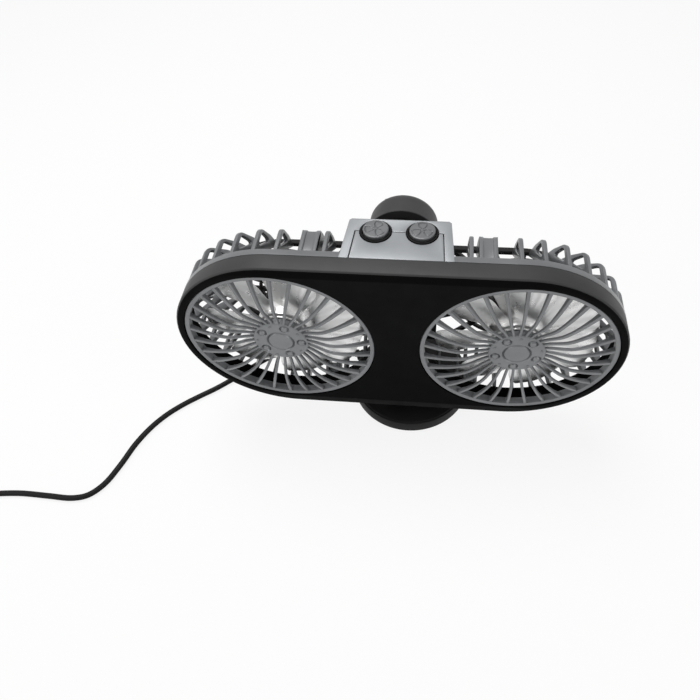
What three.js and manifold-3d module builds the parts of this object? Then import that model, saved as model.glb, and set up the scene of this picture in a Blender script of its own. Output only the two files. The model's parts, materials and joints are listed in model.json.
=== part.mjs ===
// Dual head car fan: two round grilles in one stadium shaped head, held by a ball joint
// on a curved arm that swivels on a weighted foot, with a USB lead.
// Millimetres, +Z up. The origin is the centre of the foot's bottom face, and the fans blow along -Y.

import * as THREE from 'three';
import { mergeVertices } from 'three/addons/utils/BufferGeometryUtils.js';
import Module from 'manifold-3d';

const wasm = await Module();
wasm.setup();

// Clearances and cutting
const seatGap = 0.3;
const runningGap = 0.3;
const overrun = 2;
const degree = Math.PI / 180;
const quarterTurn = Math.PI / 2;

// Head outline, seen from the front: a stadium round two equal grilles
const grilleRadius = 50;
const grilleSpacing = 123.4;
const faceMargin = 6.2;
const endShift = 2.2;
const headRadius = grilleRadius + faceMargin;
const grilleCentre = grilleSpacing / 2;
const headCentre = grilleCentre - endShift;
const outlineSteps = 9;

// Front bezel: face plate, skirt and the two ducts that carry the grilles
const faceLip = 0.7;
const bezelDepth = 9.1;
const faceWall = 2.2;
const faceChamfer = 0.8;
const skirtWall = 2;
const ductWall = 1.4;
const ductLength = 12.5;
const ledgeWidth = 1.4;
const bezelFront = -faceLip;
const bezelBack = bezelFront + bezelDepth;
const ductBore = grilleRadius + seatGap;
const ductRadius = ductBore + ductWall;
const ductBack = bezelFront + ductLength;

// Grilles: rim, bulged spokes and a hub with a cap and lugs
const rimWidth = 2;
const rimDepth = 4.4;
const rimRound = 0.5;
const spokeCount = 30;
const spokeThickness = 1.5;
const spokeBulge = 2.4;
const spokePeakShare = 0.44;
const spokeShoulderShare = 0.74;
const spokeDepth = 1.4;
const spokeEndBack = 3.7;
const hubRadius = 14.5;
const hubRecess = 0.8;
const hubWall = 2.4;
const hubStep = 0.3;
const hubCapRadius = 6.9;
const hubCapProud = 0.6;
const lugCount = 5;
const lugRadius = 2.25;
const lugCircle = 11.1;
const lugProud = 0.4;
const leftSpokeAngle = 3.2 * degree;
const leftLugAngle = 19 * degree;
const rightGrilleTurn = 19 * degree;
const ledgeFront = rimDepth + seatGap;

// Rear housing: strip, fins, screw blocks and rear rail
const stripDepth = 3.8;
const stripWall = 3;
const stripFront = bezelBack + seatGap;
const stripBack = stripFront + stripDepth;
const finThickness = 2;
const finDepth = 28.8;
const finOutlineShares = [[0.57, 1], [0.67, 0.96], [0.86, 0.81]];
const finHoleShares = [[0.37, 0.93], [0.58, 0.93], [0.72, 0.8]];
const finHoleTilt = 25 * degree;
const finStep = 0.2;
const railRadius = 37.5;
const railWall = 2.5;
const railDepth = 3.5;
const railBack = stripFront + finDepth + finThickness;
const railFront = railBack - railDepth;
const finPitch = 11.3;
const endFinStep = 11.71 * degree;
const endFinCount = 7;
const blockInner = 37.4;
const blockOuter = 45.9;
const blockFloor = 1.2;
const blockFloorWall = 1.7;
const blockWebDrop = 9.2;
const blockLength = 17.6;

// Control box on top of the housing, its cover and its two buttons
const boxFrontHalf = 26.5;
const boxBackHalf = 24.3;
const boxBack = 35.3;
const boxWall = 2;
const boxHeight = 23.2;
const boxTopWall = 4;
const coverThickness = 2;
const coverFrontHalf = 21.7;
const coverBackHalf = 20.7;
const coverBack = 26.6;
const coverLedge = 1.5;
const buttonSpacing = 22;
const collarRadius = 7.5;
const collarWall = 1.1;
const collarHeight = 5.7;
const collarProud = 0.5;
const buttonProud = 1.9;
const buttonRound = 0.4;
const buttonFlange = 0.8;
const buttonFlangeHeight = 1.5;
const buttonStemRadius = 1.5;
const buttonStemLength = 1.4;
const buttonTravel = 1;
const boardThickness = 1.6;
const boardInset = 1.6;
const switchSize = 6;
const switchHeight = 2.6;
const postRadius = 2;

// Case screws through the screw blocks into the bezel
const screwX = (blockInner + blockOuter) / 2;
const screwDrop = 5.3;
const screwRadius = 0.8;
const screwHeadRadius = 1.8;
const screwHeadHeight = 1.5;
const bossRadius = 2.5;
const bossEngage = 5;

// Centre pillar, rear panel and rear guards
const pillarHalf = 12.5;
const pillarWall = 2;
const panelHalf = 20;
const panelTop = 50;
const panelBottom = 36.5;
const guardStruts = 8;
const strutThickness = 2;
const guardRingWidth = 1.6;
const guardRingShares = [0.67];
const guardStep = 0.6;

// Fans: motor cup, motor, shaft, rotor and rotor cap
const motorRadius = 12;
const motorLength = 14.7;
const motorFront = 21;
const motorNose = 0.7;
const motorNoseRadius = 3;
const cupWall = 1.7;
const cupFront = 24;
const shaftRadius = 1;
const shaftFront = 10.4;
const shaftLength = 19;
const bladeCount = 7;
const bladeTip = 42;
const bladeThickness = 1.4;
const bladeRootChord = 15;
const bladeTipChord = 27;
const bladePitch = 24 * degree;
const bladeEdgeShares = [[0.9, -0.5], [0.98, 0], [0.9, 0.42], [0.7, 0.5]];
const leftRotorTurn = -28.6 * degree;
const rightRotorTurn = 9.4 * degree;
const rotorFront = 8;
const rotorDepth = 12;
const rotorWall = 2;
const rotorBossRadius = 3.4;
const rotorBossLength = 8;
const rotorCapRadius = 13;
const rotorCapHeight = 1.4;
const rotorCapRound = 0.6;

// Ball joint at the back of the head
const ballDepth = 54;
const ballRise = 35;
const ballRadius = 9;
const neckRadius = 3;
const linerWall = 1.7;
const linerCut = 4;
const barrelRadius = 13.5;
const barrelBack = 52;
const flangeHalfWidth = 18.3;
const flangeHalfHeight = 13.5;
const flangeThickness = 2.7;
const flangeCorner = 3;
const flangeScrewX = 15.4;
const flangeScrewZ = 10.6;
const nutRimRadius = 18.5;
const nutShoulderRadius = 17.9;
const nutShoulder = 55;
const nutFront = 45;
const nutBack = 61;
const nutBackRadius = 13.2;
const nutHoleRadius = 7.9;
const flangeFront = railBack + seatGap;
const flangeBack = flangeFront + flangeThickness;

// Stand: pad, base, turntable and arm
const armReach = 19.45;
const armAngle = 14.9 * degree;
const padRadius = 36.6;
const padThickness = 1.7;
const baseTopRadius = 37.2;
const baseDraft = 0.7;
const baseRadius = baseTopRadius + baseDraft;
const baseHeight = 7.3;
const baseWall = 3;
const baseFloor = 2;
const basePostRadius = 8;
const basePostRise = 1.4;
const baseBottom = padThickness + seatGap;
const baseTop = baseBottom + baseHeight;
const tableRadius = 36.4;
const tableRim = 0.8;
const tableRise = 5.8;
const tableWall = 2.1;
const tableFlatRadius = 12;
const tableBottom = baseTop + runningGap;
const tableTop = tableBottom + tableRise;
const pivotRadius = 2.9;
const pivotHeadRadius = 4.4;
const pivotHeadHeight = 2.2;
const washerRadius = 5.2;
const washerThickness = 0.6;
const counterboreDepth = 3.8;
const seatHalfWidth = 8;
const seatLength = 18;
const seatMiddle = 9;
const seatThickness = 4.2;
const armHalfWidth = 7;
const armFront = 33;
const armDepth = 8;
const armLimb = 6.5;
const headClearance = 6.6;
const ballHeight = tableTop + seatGap + armLimb + headClearance + headRadius + ballRise;
const armRise = 6;
const armCorner = 7;
const armInnerCorner = 6;
const armOuterCorner = 9;
const studRadius = 2.6;
const studLength = 5.5;
const studCollarRadius = 5;
const studCollarThickness = 2;
const armScrewNear = 12;
const armScrewFar = 22;
const armScrewRadius = 1.3;
const armScrewHeadRadius = 2.5;
const armScrewHeadHeight = 1.8;
const armScrewLength = 8.5;

// Lead: strain relief, free run, coil and USB plug
const cordRadius = 1.75;
const cordSides = 8;
const cordStep = 10.5;
const exitAngle = 155 * degree;
const exitHeight = 5.6;
const reliefRadius = 2.9;
const reliefFlangeRadius = 4;
const reliefFlangeThickness = 1.4;
const reliefEndRadius = 2.3;
const reliefReach = 52;
const coilLoops = 5;
const coilSteps = 20;
const coilSides = 5;
const coilPitch = 4.1;
const coilLayer = 4;
const coilInnerRadius = 16;
const coilX = -288;
const coilY = -137;
const coilStartAngle = 107 * degree;
const tailLength = 26;
const tailShares = [0.4, 0.65, 0.86, 1];
const plugWidth = 15.6;
const plugHeight = 7.8;
const plugLength = 27;
const plugCorner = 2.6;
const plugNeckRadius = 3;
const plugNeckLength = 9;
const plugNeckEndShare = 0.75;
const shellWidth = 12;
const shellHeight = 4.5;
const shellLength = 18.6;
const shellWall = 0.5;
const shellCorner = 0.7;
const shellSeat = 6;
const tongueWidth = 10.6;
const tongueHeight = 1.7;
const tongueShort = 1.2;

// The lead's free run from the strain relief to the coil, lying on the table from its fifth point
const cordRun = [
  [-47.4, 22.1, 5.6],
  [-51.0, 23.8, 5.6],
  [-59.5, 26.6, 4.4],
  [-70.0, 27.2, 2.3],
  [-81.0, 24.4, 1.75],
  [-93.0, 17.6, 1.75],
  [-104.0, 9.2, 1.75],
  [-113.0, 0.8, 1.75],
  [-121.3, -7.2, 1.75],
  [-130.4, -15.0, 1.75],
  [-139.6, -21.7, 1.75],
  [-148.6, -28.7, 1.75],
  [-157.0, -36.7, 1.75],
  [-164.5, -46.7, 1.75],
  [-170.8, -59.5, 1.75],
  [-175.6, -75.0, 1.75],
  [-181.0, -87.8, 1.75],
  [-188.2, -95.2, 1.75],
  [-197.2, -97.8, 1.75],
  [-212.0, -97.6, 1.75],
  [-232.0, -97.4, 1.75],
  [-254.0, -100.2, 1.75],
  [-272.0, -104.7, 1.75],
  [-284.4, -108.45, 1.75],
  [-292.04, -110.79, 1.75],
];

// Looks
const blackPlastic = { color: 0x17171a, roughness: 0.55, metalness: 0 };
const softBlack = { color: 0x202022, roughness: 0.7, metalness: 0 };
const silverPlastic = { color: 0x9b9da1, roughness: 0.42, metalness: 0.25 };
const brightSilver = { color: 0xb9bbbf, roughness: 0.3, metalness: 0.5 };
const steel = { color: 0xa4a6aa, roughness: 0.3, metalness: 1 };
const rubber = { color: 0x141414, roughness: 0.85, metalness: 0 };
const boardGreen = { color: 0x1f5a38, roughness: 0.6, metalness: 0 };

// Solids

function solidOf(geometry) {
  const bare = geometry.clone();
  bare.deleteAttribute('normal');
  bare.deleteAttribute('uv');
  const merged = mergeVertices(bare);
  const corners = [];
  for (let i = 0; i < merged.index.count; i += 3) {
    const a = merged.index.getX(i);
    const b = merged.index.getX(i + 1);
    const c = merged.index.getX(i + 2);
    if (a !== b && b !== c && c !== a) corners.push(a, b, c);
  }
  const places = merged.attributes.position.array;
  if (signedVolume(places, corners) < 0) {
    for (let i = 0; i < corners.length; i += 3) {
      [corners[i], corners[i + 1]] = [corners[i + 1], corners[i]];
    }
  }
  const mesh = new wasm.Mesh({
    numProp: 3,
    vertProperties: new Float32Array(places),
    triVerts: new Uint32Array(corners),
  });
  return new wasm.Manifold(mesh);
}

function signedVolume(places, corners) {
  const [a, b, c] = [new THREE.Vector3(), new THREE.Vector3(), new THREE.Vector3()];
  let volume = 0;
  for (let i = 0; i < corners.length; i += 3) {
    a.fromArray(places, corners[i] * 3);
    b.fromArray(places, corners[i + 1] * 3);
    c.fromArray(places, corners[i + 2] * 3);
    volume += a.dot(b.cross(c)) / 6;
  }
  return volume;
}

function geometryOf(solid) {
  const mesh = solid.getMesh();
  const geometry = new THREE.BufferGeometry();
  geometry.setAttribute('position', new THREE.BufferAttribute(mesh.vertProperties, 3));
  geometry.setIndex(new THREE.BufferAttribute(mesh.triVerts, 1));
  geometry.computeVertexNormals();
  return geometry;
}

function join(...geometries) {
  return geometries.map(solidOf).reduce((whole, piece) => whole.add(piece));
}

function cut(solid, ...tools) {
  return tools.map(solidOf).reduce((whole, tool) => whole.subtract(tool), solid);
}

// A flat outline in X and Z, thickened along Y from one depth to another
function plate(shape, front, back, curveSegments = outlineSteps) {
  const geometry = new THREE.ExtrudeGeometry(shape, {
    depth: back - front,
    bevelEnabled: false,
    curveSegments,
  });
  return geometry.rotateX(quarterTurn).translate(0, back, 0);
}

// The same with both edges bevelled
function bevelledPlate(shape, front, back, bevel, curveSegments = outlineSteps) {
  const geometry = new THREE.ExtrudeGeometry(shape, {
    depth: back - front - 2 * bevel,
    bevelThickness: bevel,
    bevelSize: bevel,
    bevelOffset: -bevel,
    bevelSegments: 1,
    curveSegments,
  });
  return geometry.rotateX(quarterTurn).translate(0, back - bevel, 0);
}

// A flat outline in X and Y, raised along Z from one height to another
function slab(shape, bottom, top, curveSegments = outlineSteps) {
  const geometry = new THREE.ExtrudeGeometry(shape, {
    depth: top - bottom,
    bevelEnabled: false,
    curveSegments,
  });
  return geometry.translate(0, 0, bottom);
}

// A flat outline in Y and Z, thickened along X either side of the middle
function sideProfile(shape, thickness) {
  const geometry = new THREE.ExtrudeGeometry(shape, {
    depth: thickness,
    bevelEnabled: false,
    curveSegments: 3,
  });
  geometry.translate(0, 0, -thickness / 2);
  const basis = new THREE.Matrix4().makeBasis(
    new THREE.Vector3(0, 1, 0),
    new THREE.Vector3(0, 0, 1),
    new THREE.Vector3(1, 0, 0),
  );
  return geometry.applyMatrix4(basis);
}

function box(x0, x1, y0, y1, z0, z1) {
  const geometry = new THREE.BoxGeometry(x1 - x0, y1 - y0, z1 - z0);
  return geometry.translate((x0 + x1) / 2, (y0 + y1) / 2, (z0 + z1) / 2);
}

// A closed profile of [radius, depth] turned about the Y axis
function turned(profile, segments) {
  const points = profile.map(([radius, depth]) => new THREE.Vector2(radius, depth));
  const onAxis = profile[0][0] === 0 && profile[profile.length - 1][0] === 0;
  if (!onAxis) points.push(points[0].clone());
  return new THREE.LatheGeometry(points, segments);
}

function turnedUpright(profile, segments) {
  return turned(profile, segments).rotateX(quarterTurn);
}

// A round bar along Y
function rod(radius, front, back, segments = 16) {
  const geometry = new THREE.CylinderGeometry(radius, radius, back - front, segments);
  return geometry.translate(0, (front + back) / 2, 0);
}

// A round bar along Z
function post(radius, bottom, top, segments = 16) {
  const geometry = new THREE.CylinderGeometry(radius, radius, top - bottom, segments);
  return geometry.rotateX(quarterTurn).translate(0, 0, (bottom + top) / 2);
}

// A straight sided outline, its points put anticlockwise
function polygon(points) {
  const corners = points.map(([x, y]) => new THREE.Vector2(x, y));
  if (THREE.ShapeUtils.isClockWise(corners)) corners.reverse();
  return new THREE.Shape(corners);
}

function stadium(radius, centre = headCentre) {
  const shape = new THREE.Shape();
  shape.absarc(centre, 0, radius, -quarterTurn, quarterTurn, false);
  shape.absarc(-centre, 0, radius, quarterTurn, 3 * quarterTurn, false);
  shape.closePath();
  return shape;
}

function roundedRectangle(halfWidth, halfHeight, corner) {
  const shape = new THREE.Shape();
  shape.absarc(halfWidth - corner, corner - halfHeight, corner, -quarterTurn, 0, false);
  shape.absarc(halfWidth - corner, halfHeight - corner, corner, 0, quarterTurn, false);
  shape.absarc(corner - halfWidth, halfHeight - corner, corner, quarterTurn, 2 * quarterTurn, false);
  shape.absarc(corner - halfWidth, corner - halfHeight, corner, 2 * quarterTurn, 3 * quarterTurn, false);
  shape.closePath();
  return shape;
}

// Points on a circle in the profile plane, from one angle off the Y axis to another
function arcProfile(radius, centreDepth, from, to, steps) {
  const points = [];
  for (let i = 0; i <= steps; i += 1) {
    const angle = from + ((to - from) * i) / steps;
    points.push([radius * Math.sin(angle), centreDepth + radius * Math.cos(angle)]);
  }
  return points;
}

const fan = new THREE.Group();
const head = new THREE.Group();
const stand = new THREE.Group();
head.position.set(
  -armReach * Math.sin(armAngle),
  armReach * Math.cos(armAngle) - ballDepth,
  ballHeight - ballRise,
);
stand.rotation.z = armAngle;
fan.add(head, stand);

function addPiece(group, name, solid, look) {
  const mesh = new THREE.Mesh(geometryOf(solid), new THREE.MeshStandardMaterial(look));
  mesh.name = name;
  group.add(mesh);
  return mesh;
}

// Front bezel

const screwZ = headRadius - screwDrop;
const screwPlaces = [[-screwX, screwZ], [screwX, screwZ], [-screwX, -screwZ], [screwX, -screwZ]];
const ductSegments = 36;

function frontBezel() {
  const body = bevelledPlate(stadium(headRadius), bezelFront, bezelBack + overrun, faceChamfer);
  const cavity = plate(stadium(headRadius - skirtWall), bezelFront + faceWall, bezelBack + 2 * overrun);
  const halfLength = headCentre + headRadius + overrun;
  const halfHeight = headRadius + overrun;
  const behind = box(-halfLength, halfLength, bezelBack, bezelBack + 2 * overrun, -halfHeight, halfHeight);
  let solid = cut(join(body), cavity, behind);
  for (const x of [-grilleCentre, grilleCentre]) {
    const duct = rod(ductRadius, bezelFront + faceWall / 2, ductBack, ductSegments).translate(x, 0, 0);
    solid = solid.add(solidOf(duct));
  }
  for (const [x, z] of screwPlaces) {
    const boss = rod(bossRadius, bezelFront + faceWall / 2, bezelBack, 10).translate(x, 0, z);
    solid = solid.add(solidOf(boss));
  }
  for (const x of [-grilleCentre, grilleCentre]) {
    const seat = rod(ductBore, bezelFront - overrun, ledgeFront, ductSegments).translate(x, 0, 0);
    const bore = rod(ductBore - seatGap - ledgeWidth, ledgeFront - overrun, ductBack + overrun, ductSegments);
    solid = cut(solid, seat, bore.translate(x, 0, 0));
  }
  for (const [x, z] of screwPlaces) {
    const hole = rod(screwRadius + seatGap, bezelBack - bossEngage - seatGap, bezelBack + overrun, 8);
    solid = cut(solid, hole.translate(x, 0, z));
  }
  return solid;
}

addPiece(head, 'front_bezel', frontBezel(), blackPlastic);

// Grilles

// A spoke is shallow, so the blades show between the spokes, and deeper only where it meets the rim
function spoke() {
  const inner = hubRadius - hubWall / 2;
  const outer = grilleRadius - rimWidth / 2;
  const peak = inner + (outer - inner) * spokePeakShare;
  const shape = polygon([
    [inner, hubRecess + spokeDepth],
    [inner, hubRecess + hubStep],
    [peak, -spokeBulge],
    [(peak + outer) / 2, -spokeBulge * spokeShoulderShare],
    [outer, rimRound],
    [outer, spokeEndBack],
    [peak, spokeDepth - spokeBulge],
  ]);
  const geometry = new THREE.ExtrudeGeometry(shape, { depth: spokeThickness, bevelEnabled: false });
  return geometry.translate(0, 0, -spokeThickness / 2);
}

function grille(turn) {
  const rimInner = grilleRadius - rimWidth;
  const rim = turned([
    [grilleRadius, 0],
    [grilleRadius, rimDepth],
    [rimInner, rimDepth],
    [rimInner, 0],
  ], spokeCount).rotateY(turn + leftSpokeAngle + Math.PI / spokeCount);
  const hub = turned([
    [0, hubRecess - hubCapProud],
    [hubCapRadius, hubRecess - hubCapProud],
    [hubCapRadius, hubRecess],
    [hubRadius, hubRecess],
    [hubRadius, rimDepth],
    [hubRadius - hubWall, rimDepth],
    [hubRadius - hubWall, hubRecess + hubWall],
    [0, hubRecess + hubWall],
  ], spokeCount).rotateY(turn + leftSpokeAngle + Math.PI / spokeCount);
  let solid = join(rim, hub);
  for (let i = 0; i < spokeCount; i += 1) {
    const angle = leftSpokeAngle + turn + (i * 2 * Math.PI) / spokeCount;
    solid = solid.add(solidOf(spoke().rotateY(angle - quarterTurn)));
  }
  for (let i = 0; i < lugCount; i += 1) {
    const angle = leftLugAngle + turn + (i * 2 * Math.PI) / lugCount;
    const lug = rod(lugRadius, hubRecess - lugProud, hubRecess + hubWall / 2, 6);
    lug.translate(lugCircle * Math.sin(angle), 0, lugCircle * Math.cos(angle));
    solid = solid.add(solidOf(lug));
  }
  return solid;
}

const sides = [['left', -grilleCentre, 0], ['right', grilleCentre, rightGrilleTurn]];
for (const [side, x, turn] of sides) {
  addPiece(head, `${side}_grille`, grille(turn), silverPlastic).position.x = x;
}

// Rear housing

function finShape(pierced) {
  const radius = headRadius - finStep;
  const root = stripBack - finThickness / 2;
  const place = ([depth, reach]) => [stripFront + finDepth * depth, radius * reach];
  const shape = polygon([
    [root, radius],
    ...finOutlineShares.map(place),
    [railFront, railRadius - finStep],
    [railFront + finThickness / 2, railRadius - railWall / 2],
    [railFront, railRadius - railWall + finStep],
    [root, headRadius - stripWall + finStep],
  ]);
  if (pierced) shape.holes.push(polygon(finHoleShares.map(place)));
  return shape;
}

function finPlaces() {
  const places = [];
  const rowCount = Math.floor((headCentre - finThickness) / finPitch);
  for (let i = 0; i <= rowCount; i += 1) {
    const x = i * finPitch;
    const clearOfBlock = x + finThickness < blockInner || x - finThickness > blockOuter;
    if (!clearOfBlock) continue;
    for (const sign of i === 0 ? [1] : [-1, 1]) {
      if (x > boxFrontHalf + finThickness) places.push([sign * x, 0]);
      if (x < pillarHalf - finThickness || x > pillarHalf + finThickness) places.push([sign * x, Math.PI]);
    }
  }
  for (const x of [blockInner + finThickness / 2, blockOuter - finThickness / 2]) {
    for (const sign of [-1, 1]) {
      places.push([sign * x, 0], [sign * x, Math.PI]);
    }
  }
  for (let i = -endFinCount; i <= endFinCount; i += 1) {
    const angle = quarterTurn + i * endFinStep;
    places.push([headCentre, angle], [-headCentre, -angle]);
  }
  return places;
}

function boxOutline(inset, front, back = boxBack - inset) {
  return polygon([
    [inset - boxFrontHalf, front],
    [boxFrontHalf - inset, front],
    [boxBackHalf - inset, back],
    [inset - boxBackHalf, back],
  ]);
}

function coverOutline(gap, front) {
  return polygon([
    [-coverFrontHalf - gap, front],
    [coverFrontHalf + gap, front],
    [coverBackHalf + gap, coverBack + gap],
    [-coverBackHalf - gap, coverBack + gap],
  ]);
}

const boxFloor = headRadius - boxHeight;
const buttonPlaces = [['left', -buttonSpacing / 2], ['right', buttonSpacing / 2]];
const buttonY = coverBack;
const collarTop = headRadius + collarProud;
const collarBottom = collarTop - collarHeight;
const buttonTop = headRadius + buttonProud;
const buttonFlangeTop = collarBottom - runningGap;
const buttonBottom = buttonFlangeTop - buttonFlangeHeight;
const wellBottom = buttonBottom - buttonTravel - runningGap;
const stemBottom = buttonBottom - buttonStemLength;
const switchTop = stemBottom - buttonTravel - runningGap;
const boardTop = switchTop - switchHeight - seatGap;
const boardBottom = boardTop - boardThickness;
const boardHalf = boxBackHalf - boxWall - boardInset;
const boardFront = stripBack;
const boardBack = boxBack - boxWall - boardInset;

function motorCup() {
  const inner = motorRadius + seatGap;
  return turned([
    [inner + cupWall, cupFront],
    [inner + cupWall, railBack],
    [0, railBack],
    [0, railBack - cupWall],
    [inner, railBack - cupWall],
    [inner, cupFront],
  ], 20);
}

// The struts run on into the rail or the rear panel, and stop at the middle of the rail's wall
function rearGuard(x) {
  const cupRadius = motorRadius + seatGap + cupWall / 2;
  const pieces = [motorCup()];
  for (let i = 0; i < guardStruts; i += 1) {
    const angle = ((i + 0.5) * 2 * Math.PI) / guardStruts;
    const strut = box(
      cupRadius,
      headCentre,
      railFront + guardStep / 2,
      railBack - guardStep / 2,
      -strutThickness / 2,
      strutThickness / 2,
    );
    pieces.push(strut.rotateY(angle));
  }
  for (const share of guardRingShares) {
    const radius = share * railRadius;
    pieces.push(turned([
      [radius, railFront + guardStep],
      [radius, railBack - guardStep],
      [radius - guardRingWidth, railBack - guardStep],
      [radius - guardRingWidth, railFront + guardStep],
    ], 16));
  }
  const inside = plate(stadium(railRadius - railWall / 2), cupFront - overrun, railBack + overrun);
  return join(...pieces.map((piece) => piece.translate(x, 0, 0))).intersect(solidOf(inside));
}

function rearHousing() {
  const strip = cut(
    join(plate(stadium(headRadius), stripFront, stripBack)),
    plate(stadium(headRadius - stripWall), stripFront - overrun, stripBack + overrun),
  );
  const rail = cut(
    join(plate(stadium(railRadius), railFront, railBack)),
    plate(stadium(railRadius - railWall), railFront - overrun, railBack + overrun),
  );
  let solid = strip.add(rail);
  for (const [x, angle] of finPlaces()) {
    const fin = sideProfile(finShape(Math.abs(angle) < finHoleTilt), finThickness);
    solid = solid.add(solidOf(fin.rotateY(angle).translate(x, 0, 0)));
  }
  for (const sign of [-1, 1]) {
    for (const flip of [-1, 1]) {
      const [x0, x1] = [sign * blockInner, sign * blockOuter].sort((a, b) => a - b);
      const floorTop = flip * (headRadius - blockFloor);
      const floorBottom = flip * (headRadius - blockFloor - blockFloorWall);
      const [z0, z1] = [floorBottom, floorTop].sort((a, b) => a - b);
      const floor = box(x0, x1, stripFront, stripFront + blockLength, z0, z1);
      const webEnds = [flip * (headRadius - blockWebDrop), flip * (headRadius - stripWall / 2)];
      const [w0, w1] = webEnds.sort((a, b) => a - b);
      const web = box(x0, x1, stripFront, stripBack, w0, w1);
      solid = solid.add(join(floor, web));
    }
  }
  solid = solid.add(join(slab(boxOutline(0, stripFront), boxFloor, headRadius)));
  const pillarBottom = stripWall / 2 - headRadius;
  solid = solid.add(join(
    box(-pillarHalf, pillarHalf, stripBack, railBack, pillarBottom, boxFloor + boxWall / 2),
    box(-panelHalf, panelHalf, railFront, railBack, -panelBottom, panelTop),
  ));
  solid = cut(solid, box(
    pillarWall - pillarHalf,
    pillarHalf - pillarWall,
    stripBack + pillarWall,
    railFront,
    pillarBottom - overrun,
    boxFloor - boxWall,
  ));
  for (const x of [-grilleCentre, grilleCentre]) {
    solid = solid.add(rearGuard(x));
  }
  for (const x of [-grilleCentre, grilleCentre]) {
    const bore = rod(ductRadius + seatGap, stripFront - overrun, stripBack, ductSegments);
    solid = cut(solid, bore.translate(x, 0, 0));
  }
  const upper = headRadius - boxTopWall;
  solid = cut(
    solid,
    slab(boxOutline(boxWall, stripFront - overrun), boxFloor + boxWall, upper),
    slab(coverOutline(seatGap, stripFront - overrun), headRadius - coverThickness - seatGap, headRadius + overrun),
    slab(coverOutline(-coverLedge, stripFront - overrun), boxFloor + boxWall, headRadius + overrun),
  );
  for (const [, x] of buttonPlaces) {
    const well = post(collarRadius + seatGap, wellBottom, headRadius + overrun, 24);
    solid = cut(solid, well.translate(x, buttonY, 0));
  }
  for (const x of [-1, 1]) {
    for (const y of [boardFront + postRadius, boardBack - postRadius]) {
      const leg = post(postRadius, boxFloor + boxWall / 2, boardBottom - seatGap, 8);
      solid = solid.add(solidOf(leg.translate(x * (boardHalf - postRadius), y, 0)));
    }
  }
  for (const [x, z] of screwPlaces) {
    const hole = rod(screwRadius + seatGap, stripFront - overrun, stripBack + overrun, 8);
    solid = cut(solid, hole.translate(x, 0, z));
  }
  for (const [x, z] of socketScrewPlaces) {
    const hole = rod(screwRadius + seatGap, railFront - overrun, railBack + overrun, 8);
    solid = cut(solid, hole.translate(x, 0, z));
  }
  return solid;
}

const socketScrewPlaces = [
  [-flangeScrewX, ballRise - flangeScrewZ],
  [flangeScrewX, ballRise - flangeScrewZ],
  [-flangeScrewX, ballRise + flangeScrewZ],
  [flangeScrewX, ballRise + flangeScrewZ],
];

addPiece(head, 'rear_housing', rearHousing(), silverPlastic);

// Control cover, button collars, buttons, circuit board and switches

function controlCover() {
  let solid = join(slab(coverOutline(0, stripFront), headRadius - coverThickness, headRadius));
  for (const [, x] of buttonPlaces) {
    const hole = post(collarRadius + seatGap, headRadius - coverThickness - overrun, headRadius + overrun, 24);
    solid = cut(solid, hole.translate(x, buttonY, 0));
  }
  return solid;
}

addPiece(head, 'control_cover', controlCover(), silverPlastic);

const collarBore = collarRadius - collarWall;
const buttonRadius = collarBore - runningGap;

function buttonCollar() {
  return join(turnedUpright([
    [collarRadius, collarTop],
    [collarRadius, collarBottom],
    [collarBore, collarBottom],
    [collarBore, collarTop],
  ], 18));
}

function button() {
  return join(turnedUpright([
    [0, buttonTop],
    [buttonRadius - buttonRound, buttonTop],
    [buttonRadius, buttonTop - buttonRound],
    [buttonRadius, buttonFlangeTop],
    [buttonRadius + buttonFlange, buttonFlangeTop],
    [buttonRadius + buttonFlange, buttonBottom],
    [buttonStemRadius, buttonBottom],
    [buttonStemRadius, stemBottom],
    [0, stemBottom],
  ], 18));
}

for (const [side, x] of buttonPlaces) {
  addPiece(head, `${side}_button_collar`, buttonCollar(), softBlack).position.set(x, buttonY, 0);
  addPiece(head, `${side}_button`, button(), brightSilver).position.set(x, buttonY, 0);
}

const board = join(box(-boardHalf, boardHalf, boardFront, boardBack, boardBottom, boardTop));
addPiece(head, 'circuit_board', board, boardGreen);
for (const [side, x] of buttonPlaces) {
  const half = switchSize / 2;
  const body = join(box(x - half, x + half, buttonY - half, buttonY + half, boardTop + seatGap, switchTop));
  addPiece(head, `${side}_tact_switch`, body, softBlack);
}

// Screws

function screw(radius, capRadius, capHeight, length, segments = 6) {
  return turned([
    [0, -length],
    [radius, -length],
    [radius, 0],
    [capRadius, 0],
    [capRadius, capHeight],
    [0, capHeight],
  ], segments);
}

const caseScrew = join(screw(
  screwRadius,
  screwHeadRadius,
  screwHeadHeight,
  bossEngage + seatGap + stripDepth,
));
screwPlaces.forEach(([x, z], i) => {
  addPiece(head, `case_screw_${i + 1}`, caseScrew, steel).position.set(x, stripBack + seatGap, z);
});

const socketScrew = join(screw(
  screwRadius,
  screwHeadRadius,
  screwHeadHeight,
  flangeThickness + seatGap + railDepth,
));
socketScrewPlaces.forEach(([x, z], i) => {
  addPiece(head, `socket_screw_${i + 1}`, socketScrew, steel).position.set(x, flangeBack + seatGap, z);
});

// Motors, shafts and rotors

function motor() {
  const back = motorFront + motorLength;
  const bore = shaftRadius + runningGap;
  return join(turned([
    [bore, motorFront - motorNose],
    [motorNoseRadius, motorFront - motorNose],
    [motorNoseRadius, motorFront],
    [motorRadius, motorFront],
    [motorRadius, back],
    [0, back],
    [0, shaftFront + shaftLength + runningGap],
    [bore, shaftFront + shaftLength + runningGap],
  ].reverse(), 16));
}

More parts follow.
